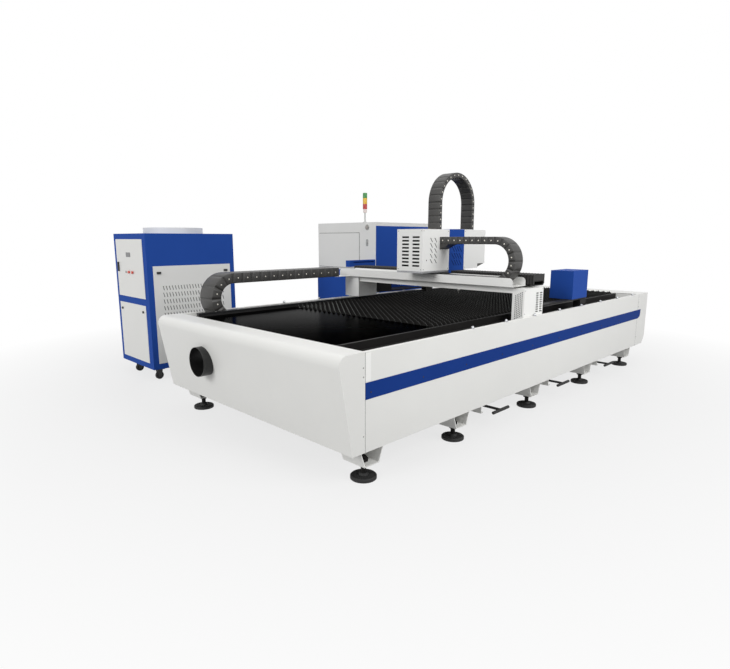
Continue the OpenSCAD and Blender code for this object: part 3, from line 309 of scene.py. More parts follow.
# %% [markdown]
# ## Paint on the solids
# Most nodes take one finish. Where one solid carries several finishes, such as the lamp stack
# with its coloured lenses, each face takes the finish that a rule picks from its middle point. The
# borders between finishes are drawing coordinates.

# %% Finishes of the nodes
CABINET_SIDE_X, REAR_STRIP_X = 2000, 4000
PAD_TOP_Z, NOZZLE_TOP_Z, BEAM_TUBE_Z = 40, 914, 1016
NEAR_RAIL_Z, FAR_RAIL_Z = 730.5, 780.5
EDGE_NORMAL = 0.5


def faces_by_rule(name, finishes, pick):
    mesh = nodes[name].data
    mesh.materials.clear()
    for finish in finishes:
        mesh.materials.append(finish)
    for face in mesh.polygons:
        face.material_index = pick(*drawing(face.center))


plain_finish = {
    white_coat: "side_frames front_end_cover rear_end_cover foot_brackets tray_runners cabinet_upper "
                "cabinet_door chiller_panels chiller_fan_shroud",
    # The brighter white on these covers is painted light; they wear the same white paint as the rest.
    lit_white_coat: "beam_chain_trough near_leg_cover far_leg_cover carriage_cover axis_cover",
    grey_coat: "cross_members",
    blue_coat: "motor_covers middle_cover cabinet_base cabinet_panels chiller_cabinet",
    stripe_coat: "side_stripes",
    slat_steel: "slat_combs slag_tray_1 slag_tray_2 slag_tray_3 gantry_saddles gantry_posts",
    black_plastic: "chiller_fan castor_fork_1 castor_fork_2 exhaust_spigot",
    grey_lamp: "cabinet_knob",
    black_rubber_and_gap_shade: "castor_wheel_1 castor_wheel_2 rear_castor_wheels",
    ground_steel: "y_guide_rails z_slide carriage_plate ball_transfer_units",
    red_button: "chiller_button_1 chiller_button_2",
}
for finish, names in plain_finish.items():
    for name in names.split():
        faces_by_rule(name, [finish], lambda x, y, z: 0)

faces_by_rule("black_fittings", [black_plastic, zinc_steel], lambda x, y, z: int(x > CABINET_SIDE_X))
faces_by_rule("levelling_feet", [black_rubber_and_gap_shade, slat_steel], lambda x, y, z: int(z > PAD_TOP_Z))
faces_by_rule("x_guide_rails", [black_paint_and_slot_shade, rail_steel],
              lambda x, y, z: int(z > (NEAR_RAIL_Z if y < BED_WIDTH / 2 else FAR_RAIL_Z)))
faces_by_rule("table_plates", [oiled_plate, grey_coat], lambda x, y, z: int(x > REAR_STRIP_X))
# Lower beam in the brighter white, painted light; its top in black paint.
faces_by_rule("gantry_beam", [lit_white_coat, black_paint_and_slot_shade], lambda x, y, z: int(z > BEAM_TUBE_Z))
faces_by_rule("cutting_head", [black_plastic, nozzle_metal], lambda x, y, z: int(z < NOZZLE_TOP_Z))

slats = nodes["support_slats"].data
slats.materials.clear()
slats.materials.append(slat_steel)
slats.materials.append(cut_edge)
for face in slats.polygons:
    face.material_index = int(abs(face.normal.x) < EDGE_NORMAL)
print("bright slat faces:", sum(face.material_index for face in slats.polygons))

# %% [markdown]
# ### Lamp stack and chiller door
# The lamp stack is one solid with a tube, a pale base and three lenses, and the chiller's control door
# is one with its display, lamp and handle. Height alone parts the lenses. On the door the sheet lies
# behind everything else, so depth is asked first and the place on the door after it.

# %% Finishes of the lamp stack and the chiller door
LAMP_JOINTS_Z = 1687, 1730, 1790, 1858
DOOR_FACE_X, HANDLE_Y, DISPLAY_FOOT_Z = 130.4, 3700, 1150


def lamp_finish(x, y, z):
    return sum(z > joint for joint in LAMP_JOINTS_Z)


faces_by_rule("signal_tower", [zinc_steel, pale_base, red_lens, yellow_lens, green_lens], lamp_finish)


def door_finish(x, y, z):
    if x > DOOR_FACE_X:
        return 0
    if y > HANDLE_Y:
        return 3
    return 1 if z > DISPLAY_FOOT_Z else 2


faces_by_rule("chiller_upper_door", [white_coat, display_bezel, grey_lamp, black_plastic], door_finish)
print("painted", len(nodes), "nodes")

# %% [markdown]
# ## Building pieces in mesh code
# Pieces that the solids leave plain are built from a few shapes: a sweep of a section along a row of
# stations, a turned profile and a flat sheet, all skinned over rings of points. A station is a middle
# point with a sideways and an upward direction, so the same sweep makes a folded panel, a chain link
# or an arch.


# %% Mesh builders
def skin(bm, rings, finish=0, smooth=True):
    faces = []
    for first, second in zip(rings, rings[1:]):
        for i in range(len(first)):
            j = (i + 1) % len(first)
            faces.append(bm.faces.new((first[i], first[j], second[j], second[i])))
    for face in faces:
        face.smooth = smooth
    faces.append(bm.faces.new(rings[0][::-1]))
    faces.append(bm.faces.new(rings[-1]))
    for face in faces:
        face.material_index = finish


def sweep(bm, stations, section, finish=0, smooth=True):
    skin(bm, [[bm.verts.new(middle + side * a + up * b) for a, b in section]
              for middle, side, up in stations], finish, smooth)


def sheet(bm, x, y, z, finish=0):
    outline = (x[0], y[0]), (x[1], y[0]), (x[1], y[1]), (x[0], y[1])
    skin(bm, [[bm.verts.new(at(a, b, c)) for a, b in outline] for c in z], finish, False)


def rounded_section(width, height, radius, steps=3):
    points = []
    for i, (a, b) in enumerate(((1, 1), (-1, 1), (-1, -1), (1, -1))):
        for k in range(steps + 1):
            angle = math.pi / 2 * (i + k / steps)
            points.append((a * (width / 2 - radius) + radius * math.cos(angle),
                           b * (height / 2 - radius) + radius * math.sin(angle)))
    return points


def turned(bm, base, axis, profile, sides=16, finish=0):
    axis = axis.normalized()
    side = axis.orthogonal().normalized()
    other = axis.cross(side)
    turns = [2 * math.pi * i / sides for i in range(sides)]
    skin(bm, [[bm.verts.new(base + axis * height + radius * (side * math.cos(t) + other * math.sin(t)))
               for t in turns] for radius, height in profile], finish, False)


def piece(name, bm, finishes):
    bmesh.ops.recalc_face_normals(bm, faces=bm.faces)
    mesh = bpy.data.meshes.new(name)
    bm.to_mesh(mesh)
    bm.free()
    for finish in finishes:
        mesh.materials.append(finish)
    made = bpy.data.objects.new(name, mesh)
    bpy.context.scene.collection.objects.link(made)
    print(name, len(mesh.polygons), "faces")
    return made


print("mesh builders ready")

# %% [markdown]
# ## The drag chains
# A closed drag chain is a row of hollow moulded links with flat lids, joined by pins at the side
# plates. The pins show as pale dots along the side. Each link is swept along its own stretch of
# the route, so that links in the bend are curved, and a narrow gap stays between neighbours, closed
# by a core just below the surface. The straight runs are built at one length. The bend travels half
# as far as the pulled end does.

# %% Links along a route
LINK_GAP, LINK_CORNER, LINK_STEPS = 0.0005, 0.005, 4
CORE_SINK, CORE_CORNER, CORE_STEPS = 0.0006, 0.0045, 3
PIN_RADIUS, PIN_RISE, PIN_SEAT, PIN_SIDES = 0.0056, 0.0013, 0.002, 12


def route(parts, along):
    """Stations sampled on straight and round parts; lengths in metres, angles in degrees."""
    def line(a, b, t):
        way = b - a
        lift = (along * way.dot(UPWARD) * -1 + UPWARD * way.dot(along)).normalized()
        return a + way * t, lift

    def arc(middle, radius, begin, end, t):
        angle = math.radians(begin + (end - begin) * t)
        out = along * math.cos(angle) + UPWARD * math.sin(angle)
        return middle + out * radius, out

    found = []
    for kind, *values in parts:
        if kind == "line":
            a, b = values
            found.append(((b - a).length, lambda t, a=a, b=b: line(a, b, t)))
        else:
            _, radius, begin, end = values
            found.append((math.radians(abs(end - begin)) * radius, lambda t, v=values: arc(*v, t)))
    return found


def chain(name, parts, along, across, width, height, pitch, extra=None):
    bm = bmesh.new()
    shell = rounded_section(width, height, LINK_CORNER)
    core = rounded_section(width - 2 * CORE_SINK, height - 2 * CORE_SINK, CORE_CORNER)
    for length, point in route(parts, along):
        count = max(1, round(length / pitch))
        gap = LINK_GAP / 2 / length
        for i in range(count):
            begin, end = i / count + gap, (i + 1) / count - gap
            steps = [begin + (end - begin) * k / LINK_STEPS for k in range(LINK_STEPS + 1)]
            sweep(bm, [(p, across, n) for p, n in map(point, steps)], shell)
            middle, _ = point((begin + end) / 2)
            for side in (-1, 1):
                turned(bm, middle + across * side * (width / 2 - PIN_SEAT), across * side,
                       [(PIN_RADIUS, 0), (PIN_RADIUS, PIN_SEAT + PIN_RISE * 0.6),
                        (PIN_RADIUS * 0.7, PIN_SEAT + PIN_RISE)], PIN_SIDES, 1)
        steps = [k / (count * CORE_STEPS) for k in range(count * CORE_STEPS + 1)]
        sweep(bm, [(p, across, n) for p, n in map(point, steps)], core)
    if extra:
        extra(bm)
    return piece(name, bm, [chain_nylon, white_pin])


print("chain helpers ready")

# %% [markdown]
# ### The bed chain
# It lies along the far side of the bed, turns over at the front end and follows the gantry. The two
# straight runs and the bend are separate meshes, because the bend keeps its radius and only travels.

# %% The bed chain
X_BEND, X_FIXED, X_PULLED = 361, 1500, 1542
X_MID, X_LOW, X_HIGH, X_RADIUS = 2000, 736, 1060, 162
X_WIDTH, X_HEIGHT, X_PITCH = 0.200, 0.085, 0.088
X_ANCHOR = 60


def bed_anchor(bm):
    sweep(bm, [(at(x, X_MID, X_LOW - 0.5), ALONG_Y, UPWARD) for x in (X_FIXED, X_FIXED + X_ANCHOR)],
          rounded_section(X_WIDTH, X_HEIGHT, 0.006))


x_lower = chain("bed_chain_lower", [("line", at(X_FIXED, X_MID, X_LOW), at(X_BEND, X_MID, X_LOW))],
                ALONG_X, ALONG_Y, X_WIDTH, X_HEIGHT, X_PITCH, bed_anchor)
x_upper = chain("bed_chain_upper", [("line", at(X_BEND, X_MID, X_HIGH), at(X_PULLED, X_MID, X_HIGH))],
                ALONG_X, ALONG_Y, X_WIDTH, X_HEIGHT, X_PITCH)
x_bend = chain("bed_chain_bend",
               [("arc", at(X_BEND, X_MID, (X_LOW + X_HIGH) / 2), X_RADIUS / 1000, 270, 90)],
               ALONG_X, ALONG_Y, X_WIDTH, X_HEIGHT, X_PITCH)
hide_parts("x_chain_lower_run")
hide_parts("x_chain_upper_run")
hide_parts("x_chain_loop")
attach(x_bend, "x_loop")
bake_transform(x_upper)
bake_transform(x_lower)

# %% [markdown]
# ### The beam chain
# It lies in the trough in front of the beam, turns over at the near end and follows the head. A
# tapered bracket under its last links joins it to the head.

# %% The beam chain
Y_BEND, Y_FIXED, Y_PULLED = 284, 1184, 814
Y_MID, Y_LOW, Y_HIGH, Y_RADIUS = 1781.5, 1048.5, 1368.5, 160
Y_WIDTH, Y_HEIGHT, Y_PITCH = 0.123, 0.060, 0.060
Y_ANCHOR = 40
BRACKET_LENGTH, BRACKET_TOP, BRACKET_TIP, BRACKET_ROOT = 90, 1338.5, 2, 46


def beam_anchor(bm):
    sweep(bm, [(at(Y_MID, y, Y_LOW - 0.5), ALONG_X, UPWARD) for y in (Y_FIXED, Y_FIXED + Y_ANCHOR)],
          rounded_section(Y_WIDTH, Y_HEIGHT, 0.005))


def head_bracket(bm):
    half = Y_WIDTH * 1000 / 2
    skin(bm, [[bm.verts.new(at(Y_MID + a * half, y, BRACKET_TOP - b * depth))
               for a, b in ((-1, 0), (1, 0), (1, 1), (-1, 1))]
              for y, depth in ((Y_PULLED - BRACKET_LENGTH, BRACKET_TIP), (Y_PULLED, BRACKET_ROOT))],
         0, False)


y_lower = chain("beam_chain_lower", [("line", at(Y_MID, Y_FIXED, Y_LOW), at(Y_MID, Y_BEND, Y_LOW))],
                ALONG_Y, ALONG_X, Y_WIDTH, Y_HEIGHT, Y_PITCH, beam_anchor)
y_upper = chain("beam_chain_upper", [("line", at(Y_MID, Y_BEND, Y_HIGH), at(Y_MID, Y_PULLED, Y_HIGH))],
                ALONG_Y, ALONG_X, Y_WIDTH, Y_HEIGHT, Y_PITCH, head_bracket)
y_bend = chain("beam_chain_bend",
               [("arc", at(Y_MID, Y_BEND, (Y_LOW + Y_HIGH) / 2), Y_RADIUS / 1000, 270, 90)],
               ALONG_Y, ALONG_X, Y_WIDTH, Y_HEIGHT, Y_PITCH)
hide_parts("y_chain_lower_run")
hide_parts("y_chain_upper_run")
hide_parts("y_chain_loop")
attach(y_bend, "y_loop")
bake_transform(y_upper)
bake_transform(y_lower)

# %% [markdown]
# ### The arched chain
# It stands on the head as an arch, from the carriage cover to the cutting axis. One end stays with
# the head while the other goes up and down with the axis; the arch is built as one mesh.

# %% The arched chain of the head
Z_LEFT, Z_RIGHT, Z_FOOT, Z_TAB, Z_SPRING, Z_MID = 1826, 2322, 1462, 1470.4, 1693, 953
Z_WIDTH, Z_HEIGHT, Z_PITCH, Z_SET_IN = 0.125, 0.042, 0.060, 60
arch = chain("head_chain_arch", [
    ("line", at(Z_LEFT, Z_MID, Z_FOOT), at(Z_LEFT, Z_MID, Z_SPRING)),
    ("arc", at((Z_LEFT + Z_RIGHT) / 2, Z_MID, Z_SPRING), (Z_RIGHT - Z_LEFT) / 2000, 180, 0),
    ("line", at(Z_RIGHT, Z_MID, Z_SPRING), at(Z_RIGHT, Z_MID, Z_TAB))],
    ALONG_X, ALONG_Y, Z_WIDTH, Z_HEIGHT, Z_PITCH)
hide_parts("z_chain")
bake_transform(arch)

# %% [markdown]
# ## Bellows on the beam
# Black bellows of coated cloth keep dust off the beam's rails on both sides of the head. Each is a
# channel that opens downwards, whose folds change between a wide and a narrow outline every 13 mm.
# A bellows reaches from the beam at its outer end to the head at its inner end.

# %% Bellows
bellows_cloth = dark_surface("coated_bellows_cloth", "#2D2C2B", "#222121", 0.55, 0.06, 3, 0.15, level=0.25)
FOLD_LENGTH, FOLD_DEPTH, CLOTH, FLANGE = 26, 8, 1.5, 4
BELLOWS_X, BELLOWS_Z = (1892, 2078), (1026, 1106)
TUBE_X, TUBE_TOP = (1906, 2065), 1056


def channel_ring(bm, y, outer, inner):
    x0, x1, top = outer
    a0, a1, below = inner
    low = BELLOWS_Z[0]
    return [bm.verts.new(at(x, y, z)) for x, z in (
        (x0, low), (x0, top), (x1, top), (x1, low), (a1, low), (a1, below), (a0, below), (a0, low))]


def bellows(name, node, fixed, free):
    bm = bmesh.new()
    count = round(abs(free - fixed) / FOLD_LENGTH) * 2
    rings = []
    for i in range(count + 1):
        d = FOLD_DEPTH * (i % 2)
        outer = (BELLOWS_X[0] + d, BELLOWS_X[1] - d, BELLOWS_Z[1] - d)
        inner = (outer[0] + CLOTH, outer[1] - CLOTH, outer[2] - CLOTH)
        rings.append(channel_ring(bm, fixed + (free - fixed) * i / count, outer, inner))
    skin(bm, rings, 0, False)
    flange = (BELLOWS_X[0], BELLOWS_X[1], BELLOWS_Z[1])
    tube = (TUBE_X[0], TUBE_X[1], TUBE_TOP)
    side = 1 if free > fixed else -1
    skin(bm, [channel_ring(bm, y, flange, tube) for y in (fixed, fixed + FLANGE * side)], 0, False)
    made = piece(name, bm, [bellows_cloth])
    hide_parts(node)
    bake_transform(made)


bellows("beam_bellows_near", "bellows_near", 26, 810)
bellows("beam_bellows_far", "bellows_far", 2046, 1096)

# %% [markdown]
# ## Side panels with a folded edge
# The long side panels are single sheets folded over at the top. The solid has a sharp corner there;
# a real fold in 3 mm sheet has a radius, so the panels are swept again with a round fold of 4 mm.

# %% Side panels
SHEET, FOLD, LIP_WIDTH, SKIRT, TOP, SKIN_LENGTH = 3, 4, 20, 200, 780, 4290


def fold_section(sign, y_outer):
    outer = [(0, SKIRT), (0, TOP - FOLD)]
    outer += [(FOLD - FOLD * math.cos(math.radians(a)), TOP - FOLD + FOLD * math.sin(math.radians(a)))
              for a in range(15, 91, 15)]
    outer += [(LIP_WIDTH, TOP), (LIP_WIDTH, TOP - SHEET)]
    inner = [(FOLD - (FOLD - SHEET) * math.cos(math.radians(a)),
              TOP - FOLD + (FOLD - SHEET) * math.sin(math.radians(a))) for a in range(90, -1, -15)]
    return [((y_outer + sign * y) / 1000, z / 1000) for y, z in outer + inner + [(SHEET, SKIRT)]]


bm = bmesh.new()
for sign, y_outer in ((1, 0), (-1, BED_WIDTH)):
    section = fold_section(sign, y_outer)
    sweep(bm, [(at(x, 0, 0), ALONG_Y, UPWARD) for x in (0, SKIN_LENGTH)], section)
panels = piece("side_panels", bm, [white_coat])
panels.modifiers.new("crisp", "EDGE_SPLIT").split_angle = math.radians(40)
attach(panels, "bed")
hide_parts("side_skins")

# %% [markdown]
# ## Dark trim and painted joint shade on the bed
# The near rail lies in a sunk channel. Its inner wall is closed by a black folded strip, whose upper
# flange covers the edge of the front plate and ends just before the slats. The joints between the
# long panels and the end covers show as fine dark lines: a black strip about 2 mm wide, standing a
# little proud, paints the shade in each joint.

# %% Recess strip and seams
STRIP_X, STRIP_Y, STRIP_FOOT, STRIP_TOP = (7, 4245), 232, 730.4, 778
STRIP_T, STRIP_LIP_T, STRIP_FLANGE = 2, 1.8, 20
bm = bmesh.new()
strip = [(0, STRIP_FOOT), (0, STRIP_TOP - 1), (1, STRIP_TOP), (STRIP_FLANGE, STRIP_TOP),
         (STRIP_FLANGE, STRIP_TOP - STRIP_LIP_T), (STRIP_T, STRIP_TOP - STRIP_LIP_T), (STRIP_T, STRIP_FOOT)]
sweep(bm, [(at(x, STRIP_Y, 0), ALONG_Y, UPWARD) for x in STRIP_X],
      [(y / 1000, z / 1000) for y, z in strip], 0, False)
recess_strip = piece("recess_strip", bm, [black_paint_and_slot_shade])
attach(recess_strip, "bed")

SEAM, PROUD = 1.1, 0.25
bm = bmesh.new()
for x in (0, SKIN_LENGTH):
    for y in ((-PROUD, 1), (BED_WIDTH - 1, BED_WIDTH + PROUD)):
        sheet(bm, (x - SEAM, x + SEAM), y, (SKIRT + 1, TOP - FOLD))
seam_shade_strips = piece("panel_seam_shade", bm, [black_rubber_and_gap_shade])
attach(seam_shade_strips, "bed")

# %% [markdown]
# ## Panel ends
# At its front end, each panel is bent out a little above the stripe. The bent strip is in the
# brighter white, a painted highlight, so it shows as a light upright strip beside the seam.

# %% Panel ends
END_X, END_Z, END_RISE = (3, 43), (612, 770), 2.2
bm = bmesh.new()
for sign, y_outer in ((1, 0), (-1, BED_WIDTH)):
    bend = [(END_X[0], -0.1), (END_X[1], -END_RISE), (END_X[1], 0.5), (END_X[0], 0.5)]
    skin(bm, [[bm.verts.new(at(x, y_outer + sign * y, z)) for x, y in bend] for z in END_Z], 0, False)
panel_end_highlight = piece("panel_end_highlight", bm, [lit_white_coat])
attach(panel_end_highlight, "bed")

# %% [markdown]
# ## Painted shade and light behind the slots
# Black sheets behind the vent slots paint the shade inside the covers, so the slots look black.
# The far leg is different: its upright ribs are closed by a sheet in the brighter white, painted light,
# so they look like lit shallow grooves. A small sheet in dark grey closes the notched corner of the
# axis cover and paints the shade inside it.


# %% Sheets of painted shade and light
def behind(face, thickness=1):
    return face, face + thickness


FAR_LEG_BACK, FAR_LEG_X, FAR_LEG_Z = 1828, (1753, 1987), (821, 971)
NEAR_LEG_BACK, NEAR_LEG_Y, NEAR_LEG_Z = 1760.5, (26, 122), (768, 994)
LEG_SLOTS_BACK, LEG_SLOTS_X, LEG_SLOTS_Z = 25.5, (1930, 2060), (790, 975)
bm = bmesh.new()
sheet(bm, FAR_LEG_X, behind(FAR_LEG_BACK), FAR_LEG_Z, 1)
sheet(bm, behind(NEAR_LEG_BACK), NEAR_LEG_Y, NEAR_LEG_Z)
sheet(bm, LEG_SLOTS_X, behind(LEG_SLOTS_BACK), LEG_SLOTS_Z)
gantry_painted_shade_and_light = piece("gantry_painted_shade_and_light", bm, [black_paint_and_slot_shade, lit_white_coat])
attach(gantry_painted_shade_and_light, "gantry")

COVER_FRONT, COVER_NEAR, MIDDLE_NEAR, NOTCH_SHADE_NEAR = 1489.5, 817.5, 815, 818
COVER_X, COVER_Y, COVER_Z = (1492, 1850), (819, 1087), (1120, 1455)
MIDDLE_X, MIDDLE_Z = (1862, 2073), (1120, 1458)
# a dark grey sheet that paints the shade inside the notched corner
NOTCH_SHADE = (2290, 1165), (2423, 1165), (2423, 1154), (2290, 1119)
bm = bmesh.new()
sheet(bm, behind(COVER_FRONT), COVER_Y, COVER_Z)
sheet(bm, COVER_X, behind(COVER_NEAR), COVER_Z)
sheet(bm, MIDDLE_X, behind(MIDDLE_NEAR), MIDDLE_Z)
skin(bm, [[bm.verts.new(at(x, y, z)) for x, z in NOTCH_SHADE] for y in behind(NOTCH_SHADE_NEAR, 2)], 1, False)
head_painted_shade = piece("head_painted_shade", bm, [black_paint_and_slot_shade, painted_shade_grey])
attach(head_painted_shade, "head")

CHILLER_BACK, CHILLER_X, CHILLER_Z = 3058.4, (200, 1010), (615, 935)
bm = bmesh.new()
sheet(bm, CHILLER_X, behind(CHILLER_BACK), CHILLER_Z)
chiller_painted_shade = piece("chiller_painted_shade", bm, [black_paint_and_slot_shade])
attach(chiller_painted_shade, "bed")

# %% [markdown]
# ## Door gap shade and switch plates
# A thin black strip along three sides of the control cabinet's door paints the shade in the gap
# round the door as a dark line. The rotary switch sits on a round plate and the lock on an upright one, both
# zinc-plated.

# %% Door gap shade and plates
CABINET_X, KNOB_Y, KNOB_Z, LOCK_Z = 2475, 2434, 1513, 1337
DOOR_Y, DOOR_Z, DOOR_GAP_WIDTH = (2565, 3290), (1040, 1450), 5
DOOR_GAP_X, DOOR_GAP_Y = (CABINET_X - 0.4, CABINET_X + 0.5), (DOOR_Y[0] - DOOR_GAP_WIDTH, DOOR_Y[1])
bm = bmesh.new()
sheet(bm, DOOR_GAP_X, DOOR_GAP_Y, (DOOR_Z[1], DOOR_Z[1] + DOOR_GAP_WIDTH))
sheet(bm, DOOR_GAP_X, DOOR_GAP_Y, (DOOR_Z[0] - DOOR_GAP_WIDTH, DOOR_Z[0]))
sheet(bm, DOOR_GAP_X, (DOOR_Y[0] - DOOR_GAP_WIDTH, DOOR_Y[0]), DOOR_Z)
door_gap_shade = piece("door_gap_shade", bm, [black_rubber_and_gap_shade])
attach(door_gap_shade, "bed")

PLATE_SEAT, LOCK_PLATE_T = 0.2, 2
KNOB_PLATE = ((0.033, 0), (0.033, 0.0012), (0.031, 0.0018), (0.0225, 0.0018), (0.0215, 0.0012),
              (0.0215, 0.0004))
LOCK_PLATE = rounded_section(0.036, 0.080, 0.012)
bm = bmesh.new()
turned(bm, at(CABINET_X + PLATE_SEAT, KNOB_Y, KNOB_Z), FRONT, KNOB_PLATE, 32)
sweep(bm, [(at(x, KNOB_Y, LOCK_Z), ALONG_Y, UPWARD)
           for x in (CABINET_X + PLATE_SEAT, CABINET_X - LOCK_PLATE_T)], LOCK_PLATE, 0, False)
switch_plates = piece("switch_plates", bm, [zinc_steel])
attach(switch_plates, "bed")

# %% [markdown]
# ## Tray grips
# The pull bars of the slag trays carry rubber sleeves. They are turned profiles drawn over bar and
# stem, and each rides its own tray.

# %% Tray grips
BAR_Y, BAR_Z, BAR_LENGTH, STEM_LENGTH = -10, 119.5, 0.215, 0.210
BAR_RADIUS, STEM_RADIUS, STEM_TIP = 0.012, 0.010, 0.0085
BAR_SLEEVE = ((STEM_RADIUS, -0.002), (BAR_RADIUS, 0.001), (BAR_RADIUS, BAR_LENGTH - 0.001),
              (STEM_RADIUS, BAR_LENGTH + 0.002))
STEM_SLEEVE = (STEM_RADIUS, 0.004), (STEM_RADIUS, STEM_LENGTH), (STEM_TIP, STEM_LENGTH + 0.002)
for i in (1, 2, 3):
    tray = [drawing(corner.co)[0] for corner in nodes["slag_tray_%d" % i].data.vertices]
    middle = at((min(tray) + max(tray)) / 2, BAR_Y, BAR_Z)
    bm = bmesh.new()
    turned(bm, middle - ALONG_X * BAR_LENGTH / 2, ALONG_X, BAR_SLEEVE, 20)
    turned(bm, middle, ALONG_Y, STEM_SLEEVE, 16)
    grip = piece("tray_grip_%d" % i, bm, [black_rubber_and_gap_shade])
    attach(grip, "tray_%d" % i)

# %% [markdown]
# ## Screws and rail bolts
# Sheet covers are held by low button-head screws with a hexagon socket, and the guide rails by
# bolts in counterbores. They are turned profiles, gathered into one mesh for each moving body. A row
# of black screws holds each stripe.

# %% Fasteners of the bed
SEAT = 0.0002


def screw(bm, place, out, radius=6.0):
    r = radius / 1000
    turned(bm, place - out * SEAT, out,
           [(r, 0), (r, r * 0.15), (r * 0.8, r * 0.42), (r * 0.45, r * 0.5), (r * 0.4, r * 0.5),
            (r * 0.38, r * 0.2)], 12)


SEAM_SCREW, SEAM_SCREW_IN, SEAM_SCREW_Z = 5, 14, (300, 640, 692)
REAR_X, REAR_SCREW_Y, REAR_SCREW_Z = 4574, (80, 600, 1100, 1600, 2060), (320, 745)
RAIL_TOPS, BOLT_X = ((70, 756), (1864, 806)), range(60, 4220, 105)
BOLT = (0.009, -SEAT), (0.009, 0.0006), (0.006, 0.0007), (0.006, 0.0004)
bm = bmesh.new()
for z in SEAM_SCREW_Z:
    for x in (-SEAM_SCREW_IN, SKIN_LENGTH + SEAM_SCREW_IN):
        screw(bm, at(x, 0, z), NEAR, SEAM_SCREW)
        screw(bm, at(x, BED_WIDTH, z), -NEAR, SEAM_SCREW)
for y in REAR_SCREW_Y:
    for z in REAR_SCREW_Z:
        screw(bm, at(REAR_X, y, z), -FRONT)
for x in BOLT_X:
    for y, z in RAIL_TOPS:
        turned(bm, at(x, y, z), UPWARD, BOLT, 12)
bed_screws = piece("bed_screws", bm, [zinc_steel])
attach(bed_screws, "bed")

STRIPE_T, STRIPE_SCREW, STRIPE_SCREW_X, STRIPE_SCREW_Z = 1.5, 5.5, range(43, SKIN_LENGTH, 462), 545.5
bm = bmesh.new()
for x in STRIPE_SCREW_X:
    screw(bm, at(x, -STRIPE_T, STRIPE_SCREW_Z), NEAR, STRIPE_SCREW)
    screw(bm, at(x, BED_WIDTH + STRIPE_T, STRIPE_SCREW_Z), -NEAR, STRIPE_SCREW)
stripe_screws = piece("stripe_screws", bm, [black_plastic])
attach(stripe_screws, "bed")

# %% [markdown]
# ### Screws that travel
# The same screw, a little smaller, holds the near leg cover and the covers of the head. They are in
# meshes of their own, since a mesh can ride on one body only.

# %% Fasteners of gantry and head
SMALL_SCREW = 4.5
LEG_FACE_Y, LEG_SCREW_X, LEG_SCREW_Z = 22, (1772, 2050), (805, 985)
bm = bmesh.new()
for x in LEG_SCREW_X:
    for z in LEG_SCREW_Z:
        screw(bm, at(x, LEG_FACE_Y, z), NEAR, SMALL_SCREW)
gantry_screws = piece("gantry_screws", bm, [zinc_steel])
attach(gantry_screws, "gantry")

HEAD_X, HEAD_Y, HEAD_SCREW_Z, NOTCH_CLEAR_Z = (1486, 2425), (814, 1092), (1128, 1447), 1172
END_SCREW_Y, SIDE_SCREW_X = (829, 1077), (1502, 1842, 2094)
bm = bmesh.new()
for z in HEAD_SCREW_Z:
    for y in END_SCREW_Y:
        screw(bm, at(HEAD_X[0], y, z), FRONT, SMALL_SCREW)
        screw(bm, at(HEAD_X[1], y, max(z, NOTCH_CLEAR_Z)), -FRONT, SMALL_SCREW)
    for x in SIDE_SCREW_X:
        screw(bm, at(x, HEAD_Y[0], z), NEAR, SMALL_SCREW)
        screw(bm, at(x, HEAD_Y[1], z), -NEAR, SMALL_SCREW)
head_screws = piece("head_screws", bm, [zinc_steel])
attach(head_screws, "head")

# %% [markdown]
# ## The studio floor
# The machine stands on a white floor in front of a white background, as in a catalogue. To the camera
# and in reflections the floor glows white, except that near the machine a quarter of its look is a
# matt grey, which takes a soft shadow. That share fades out farther off, so that no edge shows.

# %% Floor
FLOOR_HALF, FLOOR_Z = 60, -0.0005
SHADE_NEAR, SHADE_FAR, SHADE_SHARE = 2.5, 5.0, 0.75
bm = bmesh.new()
bmesh.ops.create_grid(bm, x_segments=1, y_segments=1, size=FLOOR_HALF)
mesh = bpy.data.meshes.new("floor")
bm.to_mesh(mesh)
bm.free()
floor = bpy.data.objects.new("floor", mesh)
floor.location.z = FLOOR_Z
bpy.context.scene.collection.objects.link(floor)
floor_paint, tree = new_material("white_studio_floor")
ray = add_node(tree, "ShaderNodeLightPath").outputs
seen = add_node(tree, "ShaderNodeMath", {0: ray["Is Camera Ray"], 1: ray["Is Glossy Ray"]},
                operation="MAXIMUM")
place = add_node(tree, "ShaderNodeTexCoord").outputs["Object"]
away = add_node(tree, "ShaderNodeVectorMath", {0: place}, operation="LENGTH")
fade = add_node(tree, "ShaderNodeMapRange", {
    "Value": away.outputs["Value"], "From Min": SHADE_NEAR, "From Max": SHADE_FAR,
    "To Min": SHADE_SHARE, "To Max": 1.0})
share = add_node(tree, "ShaderNodeMath", {0: seen.outputs[0], 1: fade.outputs["Result"]},
                 operation="MULTIPLY")
matt = add_node(tree, "ShaderNodeBsdfDiffuse", {"Color": linear("#B4B4B4")})
glow = add_node(tree, "ShaderNodeEmission", {"Color": (1, 1, 1, 1), "Strength": 1.0})
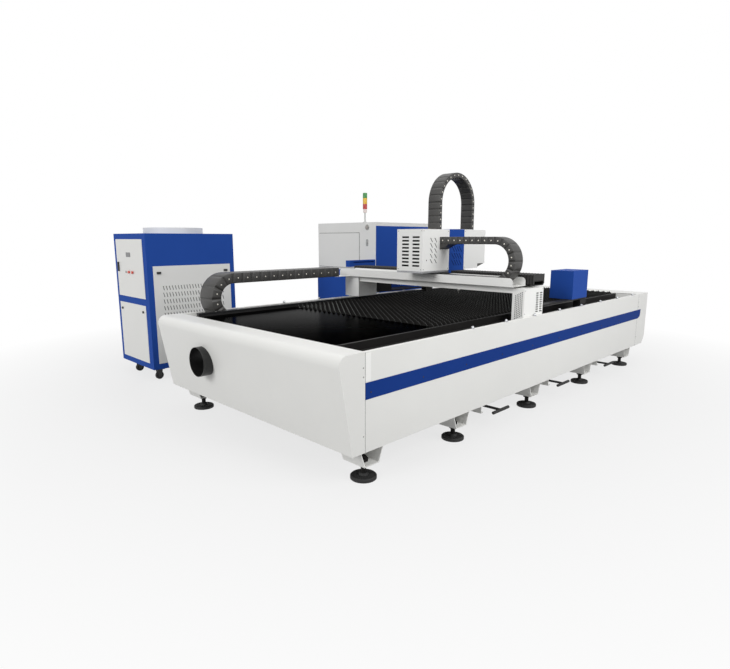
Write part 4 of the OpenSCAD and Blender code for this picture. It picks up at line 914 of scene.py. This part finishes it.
both = add_node(tree, "ShaderNodeMixShader",
                {0: share.outputs[0], 1: matt.outputs[0], 2: glow.outputs[0]})
add_node(tree, "ShaderNodeOutputMaterial", {"Surface": both.outputs[0]})
mesh.materials.append(floor_paint)
print("floor", 2 * FLOOR_HALF, "m wide")

# %% [markdown]
# ## The background
# The camera sees pure white, and so do the rays that metal and glass send out. All other rays get a
# weaker level, because light from every side at full strength would wash out the shading.

# %% Background
SKY_LIGHT = 0.36
world = bpy.data.worlds.new("studio")
bpy.context.scene.world = world
world.use_nodes = True
tree = world.node_tree
tree.nodes.clear()
ray = add_node(tree, "ShaderNodeLightPath").outputs
seen = add_node(tree, "ShaderNodeMath", {0: ray["Is Camera Ray"], 1: ray["Is Glossy Ray"]},
                operation="MAXIMUM")
seen = add_node(tree, "ShaderNodeMath", {0: seen.outputs[0], 1: ray["Is Transmission Ray"]},
                operation="MAXIMUM")
level = add_node(tree, "ShaderNodeMapRange", {"Value": seen.outputs[0], "To Min": SKY_LIGHT, "To Max": 1.0})
sky = add_node(tree, "ShaderNodeBackground", {"Color": (1, 1, 1, 1), "Strength": level.outputs["Result"]})
add_node(tree, "ShaderNodeOutputWorld", {"Surface": sky.outputs[0]})
print("background level for other rays", SKY_LIGHT)

# %% [markdown]
# ## The lamps
# Large round area lamps give soft shadows: one from the near side, one from far off the front end, so
# that near and far corners get much the same light, and a weak one above.


# %% Lamps
def soft_lamp(name, place, target, size, power):
    data = bpy.data.lights.new(name, "AREA")
    data.shape = "DISK"
    data.size = size
    data.energy = power
    lamp = bpy.data.objects.new(name, data)
    lamp.location = place
    lamp.rotation_mode = "QUATERNION"
    lamp.rotation_quaternion = (Vector(target) - Vector(place)).to_track_quat("-Z", "Y")
    bpy.context.scene.collection.objects.link(lamp)


soft_lamp("near_side_lamp", (-0.4, -7.5, 5.0), (0, 0, 0.6), 5.0, 350)
soft_lamp("front_end_lamp", (-16.0, -1.0, 7.5), (0, 0, 0.9), 8.0, 1250)
soft_lamp("overhead_lamp", (0.5, 0.5, 7.0), (0, 0, 0), 6.0, 90)
print("lamps ready")
